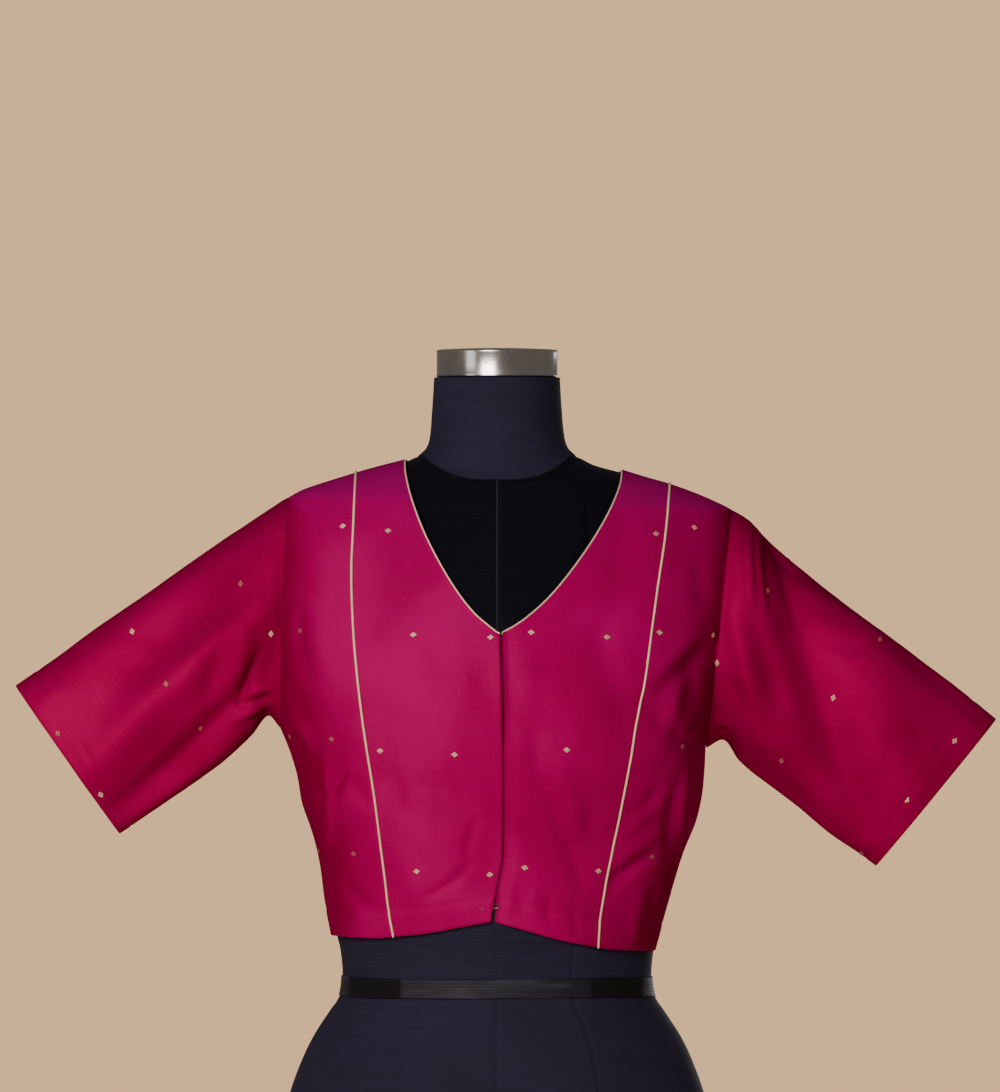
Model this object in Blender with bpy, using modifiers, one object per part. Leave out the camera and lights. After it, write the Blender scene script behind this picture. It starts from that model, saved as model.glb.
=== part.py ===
"""Choli blouse on a limbless dress form.

The blouse is open down the centre front, with a V neck, princess seams with corded piping, and
wide elbow sleeves held out to the sides. Every cloth piece is a thin wall of its own. Tables give
sizes in millimetres. Heights are above the form's waist, x runs to the viewer's right, and the
front faces -Y. Left and right in the tables and functions are the viewer's, and in the objects'
names they are the wearer's. The blouse hangs a little tilted on the upright form.
"""

import math
from collections import namedtuple

import bmesh
import bpy
from mathutils import Vector

COLLECTION_NAME = "choli_blouse_on_dress_form"
MM = 0.001

WAIST_HEIGHT = 190.0
BLOUSE_TILT = math.radians(2.7)
BLOUSE_SHIFT = -6.0

WALL = 1.2
SEAM_HALF_GAP = 0.22
PRINCESS_SETBACK = 1.75
PRINCESS_PIPING_RADIUS = 1.2
PRINCESS_PIPING_RISE = 0.7
NECK_PIPING_RADIUS = 0.9
NECK_PIPING_STANDOFF = 1.3
UNDERLAP_WIDTH = 12.0
UNDERLAP_STEP = 3.0
UNDERLAP_TOP_DROP = 4.0
UNDERLAP_DROP = 1.8
ARMHOLE_STANDOFF = 1.1

LOWER_ROWS = 7
UPPER_ROWS = 14
V_CORNER_ROW = 5
PRINCESS_TOP = 412.0
NECK_TOP = 422.0
ABOVE_SHOULDER = 430.0
CENTRE_COLUMNS = 6
SIDE_COLUMNS = 6
BACK_NECK_COLUMNS = 12
BACK_SHOULDER_COLUMNS = 5
SLEEVE_RINGS = 10
FORM_SEGMENTS = 40

# Side seam below the arm, then the shoulder line above it: half widths of the cloth.
Width = namedtuple("Width", "height left right")
SIDE_WIDTHS = [
    Width(20, 127.0, 129.0),
    Width(35, 130.0, 132.5),
    Width(62, 136.5, 138.5),
    Width(92, 142.0, 145.5),
    Width(115, 148.5, 151.5),
    Width(140, 158.5, 160.5),
    Width(162, 163.5, 164.5),
    Width(182, 170.5, 165.5),
    Width(200, 178.8, 165.5),
]
SHOULDER_WIDTHS = [
    Width(387, 181.0, 186.0),
    Width(394, 169.0, 177.0),
    Width(404, 143.0, 153.0),
    Width(412, 120.5, 128.0),
    Width(417, 105.0, 107.0),
    Width(422, 88.5, 87.5),
    Width(427, 72.0, 69.0),
]

# Depth of the cloth before and behind the shoulder line, and how square its sections are.
Depth = namedtuple("Depth", "height front back power")
CLOTH_DEPTHS = [
    Depth(20, 95.0, 87.0, 2.15),
    Depth(54, 99.5, 90.0, 2.2),
    Depth(70, 103.0, 92.0, 2.2),
    Depth(115, 113.0, 97.5, 2.25),
    Depth(150, 120.5, 102.0, 2.3),
    Depth(198, 129.5, 107.0, 2.35),
    Depth(235, 133.0, 109.0, 2.4),
    Depth(262, 128.5, 110.0, 2.35),
    Depth(300, 117.0, 110.0, 2.2),
    Depth(340, 104.0, 107.5, 2.05),
    Depth(370, 91.5, 102.0, 2.0),
    Depth(390, 79.5, 94.5, 2.0),
    Depth(400, 70.5, 87.0, 2.0),
    Depth(411, 59.5, 76.0, 2.0),
    Depth(416, 53.0, 71.0, 2.0),
    Depth(422, 45.0, 62.0, 2.0),
    Depth(428, 35.0, 50.0, 2.0),
]

# Hem height by distance from the centre: a soft point rises at the centre front.
Hem = namedtuple("Hem", "reach front back")
HEM_LINE = [
    Hem(0, 54.0, 38.0),
    Hem(25, 48.5, 38.0),
    Hem(50, 42.5, 37.5),
    Hem(75, 38.3, 37.0),
    Hem(95, 35.6, 36.0),
    Hem(133, 35.0, 35.0),
]

# Distance of each princess seam from the centre, by height.
PRINCESS_LINE = [
    Width(30, 77.0, 85.5),
    Width(60, 84.0, 86.0),
    Width(90, 89.0, 89.6),
    Width(150, 99.7, 98.6),
    Width(197, 109.3, 105.4),
    Width(245, 117.6, 112.0),
    Width(288, 123.4, 116.0),
    Width(332, 126.6, 120.2),
    Width(370, 127.0, 124.0),
    Width(412, 127.6, 126.3),
]

# Edge of the top front, by height, and the two sides of the V neck above it.
Edge = namedtuple("Edge", "height x")
OPENING_EDGE = [
    Edge(40, -2.8),
    Edge(66, -0.9),
    Edge(89, 2.4),
    Edge(105, 4.4),
    Edge(131, 3.8),
    Edge(189, 1.1),
    Edge(240, -2.6),
    Edge(290, -6.2),
]
V_NECK = [
    Width(284.3, 6.2, -5.5),
    Width(290.5, 15.0, 5.5),
    Width(300, 27.0, 17.8),
    Width(316, 41.0, 33.8),
    Width(337, 55.5, 49.8),
    Width(363, 70.4, 66.4),
    Width(389, 81.7, 79.7),
    Width(410, 88.0, 87.0),
    Width(423, 89.4, 88.2),
]
BACK_NECK_DROP = 23.0
BACK_NECK_HALF = 89.5

# Sleeve sections from armhole to cuff: the crease line on top, the one beneath, and the depths.
SleeveRow = namedtuple("SleeveRow", "reach top_x top_z under_x under_z front back power")
SLEEVE_LEFT = [
    SleeveRow(0.00, 181.0, 387.0, 178.8, 200.0, 40.0, 44.0, 2.0),
    SleeveRow(0.07, 197.0, 376.0, 189.5, 209.5, 43.0, 46.0, 2.0),
    SleeveRow(0.17, 217.0, 361.5, 202.0, 193.0, 43.5, 45.0, 2.0),
    SleeveRow(0.30, 247.0, 339.0, 223.0, 171.5, 40.0, 41.0, 1.95),
    SleeveRow(0.48, 286.0, 308.5, 250.0, 150.0, 35.5, 36.0, 1.9),
    SleeveRow(0.66, 325.0, 279.0, 270.0, 135.0, 32.0, 32.0, 1.85),
    SleeveRow(0.83, 360.0, 251.0, 288.0, 121.5, 29.0, 29.0, 1.85),
    SleeveRow(1.00, 394.4, 224.0, 305.0, 109.0, 27.0, 27.0, 1.85),
]
SLEEVE_RIGHT = [
    SleeveRow(0.00, 177.0, 394.0, 165.5, 200.0, 40.0, 44.0, 2.0),
    SleeveRow(0.07, 192.0, 384.5, 180.0, 207.5, 43.0, 46.0, 2.0),
    SleeveRow(0.17, 213.0, 366.0, 194.0, 191.0, 43.5, 45.0, 2.0),
    SleeveRow(0.30, 245.0, 342.0, 218.0, 173.0, 40.0, 41.0, 1.95),
    SleeveRow(0.48, 284.0, 314.0, 249.0, 151.5, 35.5, 36.0, 1.9),
    SleeveRow(0.66, 323.0, 288.5, 272.0, 134.0, 32.0, 32.0, 1.85),
    SleeveRow(0.83, 361.0, 262.5, 291.0, 122.5, 29.0, 29.0, 1.85),
    SleeveRow(1.00, 399.0, 234.3, 307.7, 111.6, 27.0, 27.0, 1.85),
]

# Largest folds, each along a straight line from (x1, z1) to (x2, z2); a trough has a rise below 0.
Fold = namedtuple("Fold", "x1 z1 x2 z2 width rise")
FRONT_FOLDS = [
    Fold(-217, 291, -324, 169, 22, 6.0),
    Fold(-281, 291, -345, 231, 13, 2.5),
    Fold(-219, 262, -228, 220, 10, -3.0),
    Fold(206, 336, 286, 196, 15, -5.0),
    Fold(243, 305, 332, 200, 22, 5.0),
    Fold(193, 305, 216, 250, 11, -3.0),
]
BACK_FOLDS = [
    Fold(-212, 300, -318, 180, 24, 5.0),
    Fold(-205, 250, -228, 205, 12, -3.0),
    Fold(214, 316, 312, 178, 24, 5.0),
    Fold(200, 262, 232, 206, 12, -3.0),
]
FOLD_FADE_DEPTH = 16.0

# Sections of the upright form: half width, depth before and behind, and squareness.
Ring = namedtuple("Ring", "height half_width front back power")
FORM_RINGS = [
    Ring(-190, 171.0, 109.0, 120.0, 2.25),
    Ring(-187, 174.5, 112.5, 123.5, 2.25),
    Ring(-180, 176.5, 114.5, 126.0, 2.25),
    Ring(-155, 178.0, 116.0, 128.0, 2.25),
    Ring(-122, 175.5, 116.0, 126.5, 2.25),
    Ring(-87, 167.5, 113.0, 118.0, 2.25),
    Ring(-62, 158.5, 108.5, 109.0, 2.25),
    Ring(-41, 148.5, 103.0, 100.0, 2.25),
    Ring(-21, 135.5, 96.5, 91.0, 2.2),
    Ring(-9, 127.5, 91.5, 86.0, 2.15),
    Ring(8, 125.0, 90.0, 84.0, 2.15),
    Ring(29, 126.8, 91.0, 84.5, 2.15),
    Ring(44, 130.3, 94.0, 86.0, 2.2),
    Ring(70, 134.5, 98.5, 88.5, 2.2),
    Ring(115, 142.0, 107.5, 93.0, 2.2),
    Ring(155, 148.5, 115.0, 98.0, 2.25),
    Ring(198, 153.0, 122.5, 102.5, 2.3),
    Ring(235, 155.5, 126.0, 104.5, 2.35),
    Ring(265, 156.5, 121.0, 105.0, 2.3),
    Ring(302, 157.5, 109.5, 104.5, 2.2),
    Ring(340, 159.0, 95.5, 101.0, 2.1),
    Ring(365, 160.0, 84.0, 95.0, 2.05),
    Ring(385, 159.5, 73.5, 87.0, 2.0),
    Ring(394, 156.5, 67.5, 81.5, 2.0),
    Ring(400, 147.0, 64.0, 74.5, 2.0),
    Ring(406, 131.5, 60.0, 68.5, 2.0),
    Ring(411, 114.0, 56.0, 63.0, 2.0),
    Ring(416, 96.0, 53.0, 59.0, 2.0),
    Ring(421, 78.5, 51.5, 56.5, 2.0),
    Ring(426.5, 67.5, 51.0, 55.0, 2.0),
    Ring(433, 59.0, 50.5, 54.0, 2.0),
    Ring(442, 55.0, 50.0, 53.0, 2.0),
    Ring(466, 52.6, 50.5, 51.5, 2.0),
    Ring(492, 51.0, 51.0, 49.0, 2.0),
]
NECK_CAP_PROFILE = [
    (48.6, 492.4),
    (49.2, 493.4),
    (49.2, 512.0),
    (48.4, 514.2),
    (44.0, 515.8),
    (24.0, 517.4),
    (0.0, 518.0),
]
NECK_CAP_SEGMENTS = 40
TAPE_LOW = -9.0
TAPE_HIGH = 8.0
TAPE_WALL = 0.8
TAPE_CLEARANCE = 0.35

HOOK_HEIGHT = 66.0
HOOK_WIDTH = 3.4
HOOK_LENGTH = 4.2
HOOK_WIRE_RADIUS = 0.4
HOOK_CLEARANCE = 0.6
HOOK_INSET = 1.0


def clear_scene():
    for old in list(bpy.data.objects):
        bpy.data.objects.remove(old, do_unlink=True)


def make_material(name, colour, roughness, metallic=0.0):
    material = bpy.data.materials.new(name)
    material.use_nodes = True
    shader = material.node_tree.nodes["Principled BSDF"]
    shader.inputs["Base Color"].default_value = (*colour, 1.0)
    shader.inputs["Roughness"].default_value = roughness
    shader.inputs["Metallic"].default_value = metallic
    return material


def read(rows, column, at):
    """Smooth cubic reading of one column of a table whose first column rises."""
    if at <= rows[0][0]:
        return float(getattr(rows[0], column))
    if at >= rows[-1][0]:
        return float(getattr(rows[-1], column))
    low = 0
    while rows[low + 1][0] < at:
        low += 1
    keys = [row[0] for row in rows]
    values = [getattr(row, column) for row in rows]

    def slope(index):
        before = max(index - 1, 0)
        after = min(index + 1, len(rows) - 1)
        return (values[after] - values[before]) / (keys[after] - keys[before])

    span = keys[low + 1] - keys[low]
    t = (at - keys[low]) / span
    return (
        values[low] * (2 * t**3 - 3 * t**2 + 1)
        + slope(low) * span * (t**3 - 2 * t**2 + t)
        + values[low + 1] * (3 * t**2 - 2 * t**3)
        + slope(low + 1) * span * (t**3 - t**2)
    )


def blend(start, end, share):
    return start + (end - start) * share


def ease(share):
    share = min(max(share, 0.0), 1.0)
    return share * share * (3 - 2 * share)


def signed_power(value, exponent):
    return math.copysign(abs(value) ** exponent, value)


def side_name(x):
    return "left" if x < 0 else "right"


def sleeve_rows(side):
    return SLEEVE_LEFT if side == "left" else SLEEVE_RIGHT


def armhole_x(height, side):
    """Distance of the armhole seam from the centre; it carries on above the shoulder tip."""
    hole = sleeve_rows(side)[0]
    share = (height - hole.under_z) / (hole.top_z - hole.under_z)
    return blend(hole.under_x, hole.top_x, min(max(share, 0.0), 1.0))


def armhole_depth(height, side, face):
    """How far the armhole seam stands before or behind the shoulder line."""
    hole = sleeve_rows(side)[0]
    middle = (hole.top_z + hole.under_z) / 2
    half = (hole.top_z - hole.under_z) / 2
    share = 1 - ((height - middle) / half) ** 2
    return getattr(hole, face) * math.sqrt(max(share, 0.0))


def ring_half_width(height, side, face):
    """Half width of the section that the cloth would have at this height if it went on round."""
    hole = sleeve_rows(side)[0]
    if height <= hole.under_z:
        return read(SIDE_WIDTHS, side, height)
    if height >= hole.top_z:
        return read(SHOULDER_WIDTHS, side, height)
    depth = read(CLOTH_DEPTHS, face, height)
    power = read(CLOTH_DEPTHS, "power", height)
    share = (armhole_depth(height, side, face) / depth) ** power
    return armhole_x(height, side) / (1 - share) ** (1 / power)


def ridge_height(reach, side):
    """Height of the shoulder line at this distance from the centre."""
    low = sleeve_rows(side)[0].top_z
    high = SHOULDER_WIDTHS[-1].height
    for _ in range(40):
        middle = (low + high) / 2
        if read(SHOULDER_WIDTHS, side, middle) > reach:
            low = middle
        else:
            high = middle
    return (low + high) / 2


def column_width(height, side):
    """Distance from the centre of the outermost column: side seam below, armhole above."""
    if height <= sleeve_rows(side)[0].under_z:
        return read(SIDE_WIDTHS, side, height)
    return armhole_x(height, side)


def fold_rise(folds, x, z):
    rise = 0.0
    for fold in folds:
        along_x = fold.x2 - fold.x1
        along_z = fold.z2 - fold.z1
        length_squared = along_x**2 + along_z**2
        share = ((x - fold.x1) * along_x + (z - fold.z1) * along_z) / length_squared
        nearest = min(max(share, 0.0), 1.0)
        gap = math.hypot(x - fold.x1 - nearest * along_x, z - fold.z1 - nearest * along_z)
        rise += fold.rise * math.exp(-((gap / fold.width) ** 2))
    return rise


def folded(x, y, z):
    """The same point with the large folds added, which die out where the cloth turns edge on."""
    folds = FRONT_FOLDS if y < 0 else BACK_FOLDS
    weight = ease(abs(y) / FOLD_FADE_DEPTH)
    return Vector((x, y + math.copysign(fold_rise(folds, x, z) * weight, y), z))


def cloth_point(turn, height, face, drop=0.0):
    """Point of the body cloth: turn is -90 at the left side seam or armhole, 0 at the centre."""
    side = "left" if turn < 0 else "right"
    share = math.sin(math.radians(turn))
    x = column_width(height, side) * share
    limit = ring_half_width(height, side, face)
    power = read(CLOTH_DEPTHS, "power", height)
    bulge = max(1 - (abs(x) / limit) ** power, 0.0) ** (1 / power)
    y = max(read(CLOTH_DEPTHS, face, height) * bulge - drop, SEAM_HALF_GAP)
    return folded(x, -y if face == "front" else y, height)


def turn_of(x, height):
    """Turn at which the body cloth stands at this distance from the centre."""
    share = x / column_width(height, side_name(x))
    return math.degrees(math.asin(min(max(share, -1.0), 1.0)))


def hang(point):
    """Tilt a point of the blouse into its place on the form, and change it to metres."""
    cosine = math.cos(BLOUSE_TILT)
    sine = math.sin(BLOUSE_TILT)
    x = BLOUSE_SHIFT + point.x * cosine + point.z * sine
    z = WAIST_HEIGHT - point.x * sine + point.z * cosine
    return Vector((x, point.y, z)) * MM


def hem_height(x, face):
    return read(HEM_LINE, face, abs(x))


def row_shares():
    """Row heights as shares: first from hem to underarm, then from underarm to shoulder."""
    lower = [row / LOWER_ROWS for row in range(LOWER_ROWS)]
    upper = [(1 - math.cos(math.pi * row / UPPER_ROWS)) / 2 for row in range(UPPER_ROWS + 1)]
    return lower, upper


def edge_rows(line_x, hem, underarm, top):
    """Points (x, height) of a panel edge that runs from hem to shoulder."""
    lower, upper = row_shares()
    heights = [blend(hem, underarm, share) for share in lower]
    heights += [blend(underarm, top, share) for share in upper]
    return [(line_x(height), height) for height in heights]


def princess_edge(sign, setback):
    """Edge beside a princess seam; setback is positive towards the side seam."""
    side = "left" if sign < 0 else "right"

    def line_x(height):
        return sign * (read(PRINCESS_LINE, side, height) + setback)

    reach = abs(line_x(PRINCESS_TOP))
    top = ridge_height(reach, side)
    hem = hem_height(line_x(HEM_LINE[3].front), "front")
    edge = edge_rows(line_x, hem, sleeve_rows(side)[0].under_z, top)
    edge[-1] = (sign * reach, top)
    return edge


def outer_edge(sign, face):
    """Side seam and armhole, up to the shoulder tip."""
    side = "left" if sign < 0 else "right"
    hole = sleeve_rows(side)[0]
    hem = hem_height(HEM_LINE[-1].reach, face)
    return edge_rows(lambda height: sign * column_width(height, side), hem, hole.under_z, hole.top_z)


def v_edge(sign):
    """Centre edge of a front: the opening below, and the side of the V neck above."""
    side = "left" if sign < 0 else "right"
    edge = []
    underarm = SLEEVE_LEFT[0].under_z
    corner = V_NECK[0].height
    inset = 0.0 if sign < 0 else -UNDERLAP_STEP
    hem = hem_height(0.0, "front")
    lower, _ = row_shares()
    for share in lower:
        height = blend(hem, underarm, share)
        edge.append((read(OPENING_EDGE, "x", height) - inset, height))
    for row in range(V_CORNER_ROW + 1):
        height = blend(underarm, corner, row / V_CORNER_ROW)
        edge.append((read(OPENING_EDGE, "x", height) - inset, height))
    reach = read(V_NECK, side, NECK_TOP)
    top = ridge_height(reach, side)
    count = UPPER_ROWS - V_CORNER_ROW
    for row in range(1, count + 1):
        share = (1 - math.cos(math.pi * row / count)) / 2
        height = blend(V_NECK[0].height, top, share)
        edge.append((sign * read(V_NECK, side, height), height))
    edge[-1] = (sign * reach, top)
    return edge


def panel_grid(first, last, columns, face, drop=None):
    """Points of a panel between two edges, with its hem and its shoulder on their own lines."""
    rows = len(first)
    grid = []
    for row in range(rows):
        start = (turn_of(*first[row]), first[row][1])
        end = (turn_of(*last[row]), last[row][1])
        line = []
        for column in range(columns + 1):
            share = column / columns
            turn = blend(start[0], end[0], share)
            height = blend(start[1], end[1], share)
            height += shoulder_lift(first, last, share) * max(row - LOWER_ROWS, 0) / UPPER_ROWS
            x = column_width(height, "left" if turn < 0 else "right") * math.sin(math.radians(turn))
            hem_share = max(1 - row / LOWER_ROWS, 0.0)
            hem_line = blend(first[0][1], last[0][1], share)
            height += (hem_height(x, face) - hem_line) * hem_share
            line.append(cloth_point(turn, height, face, drop(x, height) if drop else 0.0))
        grid.append(line)
    return grid


def shoulder_lift(first, last, share):
    """How far the shoulder line stands above the straight line between two top corners."""
    (x1, top1), (x2, top2) = first[-1], last[-1]
    side = side_name(x1 + x2)
    low, high = sleeve_rows(side)[0].top_z, SHOULDER_WIDTHS[-1].height
    turn = math.radians(blend(turn_of(x1, top1), turn_of(x2, top2), share))
    x = column_width(high, side) * math.sin(turn)
    height = min(max(ridge_height(abs(x), side), low), high)
    return height - blend(top1, top2, share)


def grid_mesh(name, grid, closed=False):
    """Open surface through rows of points; each row is joined end to end when closed."""
    mesh = bpy.data.meshes.new(name)
    work = bmesh.new()
    rows = [[work.verts.new(point) if point else None for point in line] for line in grid]
    count = len(grid[0])
    for lower, upper in zip(rows, rows[1:]):
        for column in range(count if closed else count - 1):
            after = (column + 1) % count
            corners = (lower[column], lower[after], upper[after], upper[column])
            if None not in corners:
                work.faces.new(corners)
    bmesh.ops.recalc_face_normals(work, faces=work.faces)
    work.to_mesh(mesh)
    work.free()
    mesh.shade_smooth()
    return mesh


def add_object(name, data, material, collection):
    thing = bpy.data.objects.new(name, data)
    data.materials.append(material)
    collection.objects.link(thing)
    return thing


def add_wall(thing, thickness):
    wall = thing.modifiers.new("wall", "SOLIDIFY")
    wall.thickness = thickness * MM
    wall.offset = 0.0
    wall.use_even_offset = True
    wall.use_quality_normals = True


def add_cloth(name, grid, material, collection, closed=False):
    placed = [[hang(point) if point else None for point in line] for line in grid]
    cloth = add_object(name, grid_mesh(name, placed, closed), material, collection)
    add_wall(cloth, WALL)
    return cloth


def add_tube(name, points, radius, material, collection):
    """Round cord through points already in metres."""
    curve = bpy.data.curves.new(name, "CURVE")
    curve.dimensions = "3D"
    curve.bevel_depth = radius * MM
    curve.bevel_resolution = 2
    curve.use_fill_caps = True
    spline = curve.splines.new("POLY")
    spline.points.add(len(points) - 1)
    for knot, point in zip(spline.points, points):
        knot.co = (*point, 1.0)
    return add_object(name, curve, material, collection)


def centre_front(sign):
    """Grid of a centre front, from its princess seam to its opening edge."""
    def underlap_drop(x, height):
        edge = read(OPENING_EDGE, "x", height)
        return UNDERLAP_DROP * ease((edge + UNDERLAP_STEP + UNDERLAP_WIDTH - x) / UNDERLAP_WIDTH)

    drop = underlap_drop if sign > 0 else None
    return panel_grid(princess_edge(sign, -PRINCESS_SETBACK), v_edge(sign), CENTRE_COLUMNS, "front", drop)


def with_underlap(grid):
    """The left front's grid with one more column behind the opening edge, up to the V."""
    edge = v_edge(1)
    extended = []
    for row, line in enumerate(grid):
        point = None
        if row <= LOWER_ROWS + V_CORNER_ROW:
            height = edge[row][1] - UNDERLAP_TOP_DROP * (row == LOWER_ROWS + V_CORNER_ROW)
            x = read(OPENING_EDGE, "x", height) - UNDERLAP_WIDTH
            point = cloth_point(turn_of(x, height), height, "front", UNDERLAP_DROP)
        extended.append(line + [point])
    return extended


def side_front(sign):
    """Grid of a side front, from its princess seam to its side seam and armhole."""
    return panel_grid(princess_edge(sign, PRINCESS_SETBACK), outer_edge(sign, "front"), SIDE_COLUMNS, "front")


def back_top(x):
    """Height of the back's top edge: the scooped neck in the middle and the shoulders beside it."""
    side = side_name(x)
    reach = abs(x)
    if reach >= BACK_NECK_HALF:
        return ridge_height(reach, side)
    share = reach / BACK_NECK_HALF
    return ridge_height(BACK_NECK_HALF, side) - BACK_NECK_DROP * (1 - share**2)


def back_columns():
    """Turns of the back's columns, closer together beside the neck, where the scoop is steep."""
    turns = []
    for step in range(BACK_SHOULDER_COLUMNS + 1):
        turns.append(blend(-90.0, turn_of(-BACK_NECK_HALF, ABOVE_SHOULDER), step / BACK_SHOULDER_COLUMNS))
    for step in range(1, BACK_NECK_COLUMNS):
        angle = math.pi * step / BACK_NECK_COLUMNS
        turns.append(turn_of(-BACK_NECK_HALF * math.cos(angle), ABOVE_SHOULDER))
    for step in range(BACK_SHOULDER_COLUMNS + 1):
        turns.append(blend(turn_of(BACK_NECK_HALF, ABOVE_SHOULDER), 90.0, step / BACK_SHOULDER_COLUMNS))
    return turns


def back_grid():
    lower, upper = row_shares()
    underarm = SLEEVE_LEFT[0].under_z
    turns = back_columns()
    grid = []
    for row in range(LOWER_ROWS + UPPER_ROWS + 1):
        line = []
        for turn in turns:
            side = "left" if turn < 0 else "right"
            top_x = column_width(ABOVE_SHOULDER, side) * math.sin(math.radians(turn))
            top = sleeve_rows(side)[0].top_z if abs(turn) > 89.9 else back_top(top_x)
            hem = hem_height(HEM_LINE[-1].reach * math.sin(math.radians(turn)), "back")
            if row < LOWER_ROWS:
                height = blend(hem, underarm, lower[row])
            else:
                height = blend(underarm, top, upper[row - LOWER_ROWS])
            line.append(cloth_point(turn, height, "back"))
        grid.append(line)
    return grid


def sleeve_section(side, reach, segments):
    """Closed ring of a sleeve, starting at the top crease and going round by the front."""
    rows = sleeve_rows(side)
    sign = -1 if side == "left" else 1
    top = Vector((sign * read(rows, "top_x", reach), 0.0, read(rows, "top_z", reach)))
    under = Vector((sign * read(rows, "under_x", reach), 0.0, read(rows, "under_z", reach)))
    centre = (top + under) / 2
    half = (top - under) / 2
    exponent = 2 / read(rows, "power", reach)
    ring = []
    for step in range(segments):
        angle = 2 * math.pi * step / segments
        face = "front" if step <= segments / 2 else "back"
        height = signed_power(math.cos(angle), exponent)
        depth = signed_power(math.sin(angle), exponent) * read(rows, face, reach)
        point = centre + half * height + Vector((0.0, -depth, 0.0))
        ring.append(folded(*point))
    return ring


def sleeve_grid(side):
    """Rings from just outside the armhole to the cuff, closer together near the armhole."""
    segments = 2 * UPPER_ROWS
    rows = sleeve_rows(side)
    length = math.hypot(rows[-1].top_x - rows[0].top_x, rows[-1].top_z - rows[0].top_z)
    start = ARMHOLE_STANDOFF / length
    shares = [start + (1 - start) * (step / SLEEVE_RINGS) ** 1.35 for step in range(SLEEVE_RINGS + 1)]
    return [sleeve_section(side, share, segments) for share in shares]


def princess_seam_points(sign):
    """Middle of the gap between the two panels of a princess seam, moved out a little."""
    inner = princess_edge(sign, -PRINCESS_SETBACK)
    outer = princess_edge(sign, PRINCESS_SETBACK)
    points = []
    for (x1, z1), (x2, z2) in zip(inner, outer):
        first = cloth_point(turn_of(x1, z1), z1, "front")
        second = cloth_point(turn_of(x2, z2), z2, "front")
        across = (second - first).normalized() * -sign
        outward = Vector((0.0, 0.0, 1.0)).cross(across)
        outward = outward if outward.y < 0 else -outward
        points.append(hang((first + second) / 2 + outward.normalized() * PRINCESS_PIPING_RISE))
    return points


def beside_edge(edge, inner):
    """Points just off a panel's edge, on the side away from the panel's inner points."""
    points = []
    for index, point in enumerate(edge):
        before = edge[max(index - 1, 0)]
        after = edge[min(index + 1, len(edge) - 1)]
        along = (after - before).normalized()
        away = point - inner[index]
        away = (away - along * away.dot(along)).normalized()
        points.append(hang(point + away * NECK_PIPING_STANDOFF))
    return points


def neck_seam_points(right_front, left_front, back):
    """The piping's whole way: up the V, round the back neck and down the other side of the V."""
    start = LOWER_ROWS + V_CORNER_ROW
    sides = []
    for front in (right_front, left_front):
        edge = [line[-1] for line in front[start:]]
        inner = [line[-2] for line in front[start:]]
        sides.append(beside_edge(edge, inner))
    low = BACK_SHOULDER_COLUMNS
    high = BACK_SHOULDER_COLUMNS + BACK_NECK_COLUMNS
    middle = beside_edge(back[-1][low:high + 1], back[-2][low:high + 1])
    return sides[0] + middle[1:-1] + sides[1][::-1]


def form_ring(height, out=0.0):
    """Ring of the form at a height above the waist, in metres, standing out by a distance."""
    half_width = read(FORM_RINGS, "half_width", height) + out
    exponent = 2 / read(FORM_RINGS, "power", height)
    ring = []
    for step in range(FORM_SEGMENTS):
        angle = 2 * math.pi * step / FORM_SEGMENTS
        face = "front" if math.cos(angle) >= 0 else "back"
        depth = read(FORM_RINGS, face, height) + out
        x = half_width * signed_power(math.sin(angle), exponent)
        y = -depth * signed_power(math.cos(angle), exponent)
        ring.append(Vector((x, y, WAIST_HEIGHT + height)) * MM)
    return ring


def add_form_body(material, collection):
    """Lofted body with a flat underside and a flat top under the cap."""
    mesh = grid_mesh("form_body", [form_ring(row.height) for row in FORM_RINGS], closed=True)
    work = bmesh.new()
    work.from_mesh(mesh)
    rims = [edge for edge in work.edges if edge.is_boundary]
    bmesh.ops.holes_fill(work, edges=rims, sides=0)
    bmesh.ops.recalc_face_normals(work, faces=work.faces)
    work.to_mesh(mesh)
    work.free()
    mesh.shade_smooth()
    mesh.set_sharp_from_angle(angle=math.radians(40))
    return add_object("form_body", mesh, material, collection)


def add_neck_cap(material, collection):
    """Turned cap: a straight band with a softly domed top."""
    mesh = bpy.data.meshes.new("form_neck_cap")
    work = bmesh.new()
    points = [(0.0, NECK_CAP_PROFILE[0][1])] + NECK_CAP_PROFILE
    profile = [work.verts.new((radius * MM, 0.0, (WAIST_HEIGHT + height) * MM)) for radius, height in points]
    edges = [work.edges.new(pair) for pair in zip(profile, profile[1:])]
    bmesh.ops.spin(
        work,
        geom=profile + edges,
        cent=(0, 0, 0),
        axis=(0, 0, 1),
        angle=2 * math.pi,
        steps=NECK_CAP_SEGMENTS,
        use_merge=True,
    )
    bmesh.ops.remove_doubles(work, verts=work.verts, dist=0.00001)
    bmesh.ops.recalc_face_normals(work, faces=work.faces)
    work.to_mesh(mesh)
    work.free()
    mesh.shade_smooth()
    mesh.set_sharp_from_angle(angle=math.radians(40))
    return add_object("form_neck_cap", mesh, material, collection)


def add_waist_tape(material, collection):
    """Tape lying round the waist, on the rings of the body that it covers."""
    out = TAPE_CLEARANCE + TAPE_WALL / 2
    grid = [form_ring(TAPE_LOW, out), form_ring(TAPE_HIGH, out)]
    mesh = grid_mesh("form_waist_tape", grid, closed=True)
    tape = add_object("form_waist_tape", mesh, material, collection)
    add_wall(tape, TAPE_WALL)
    return tape


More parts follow.
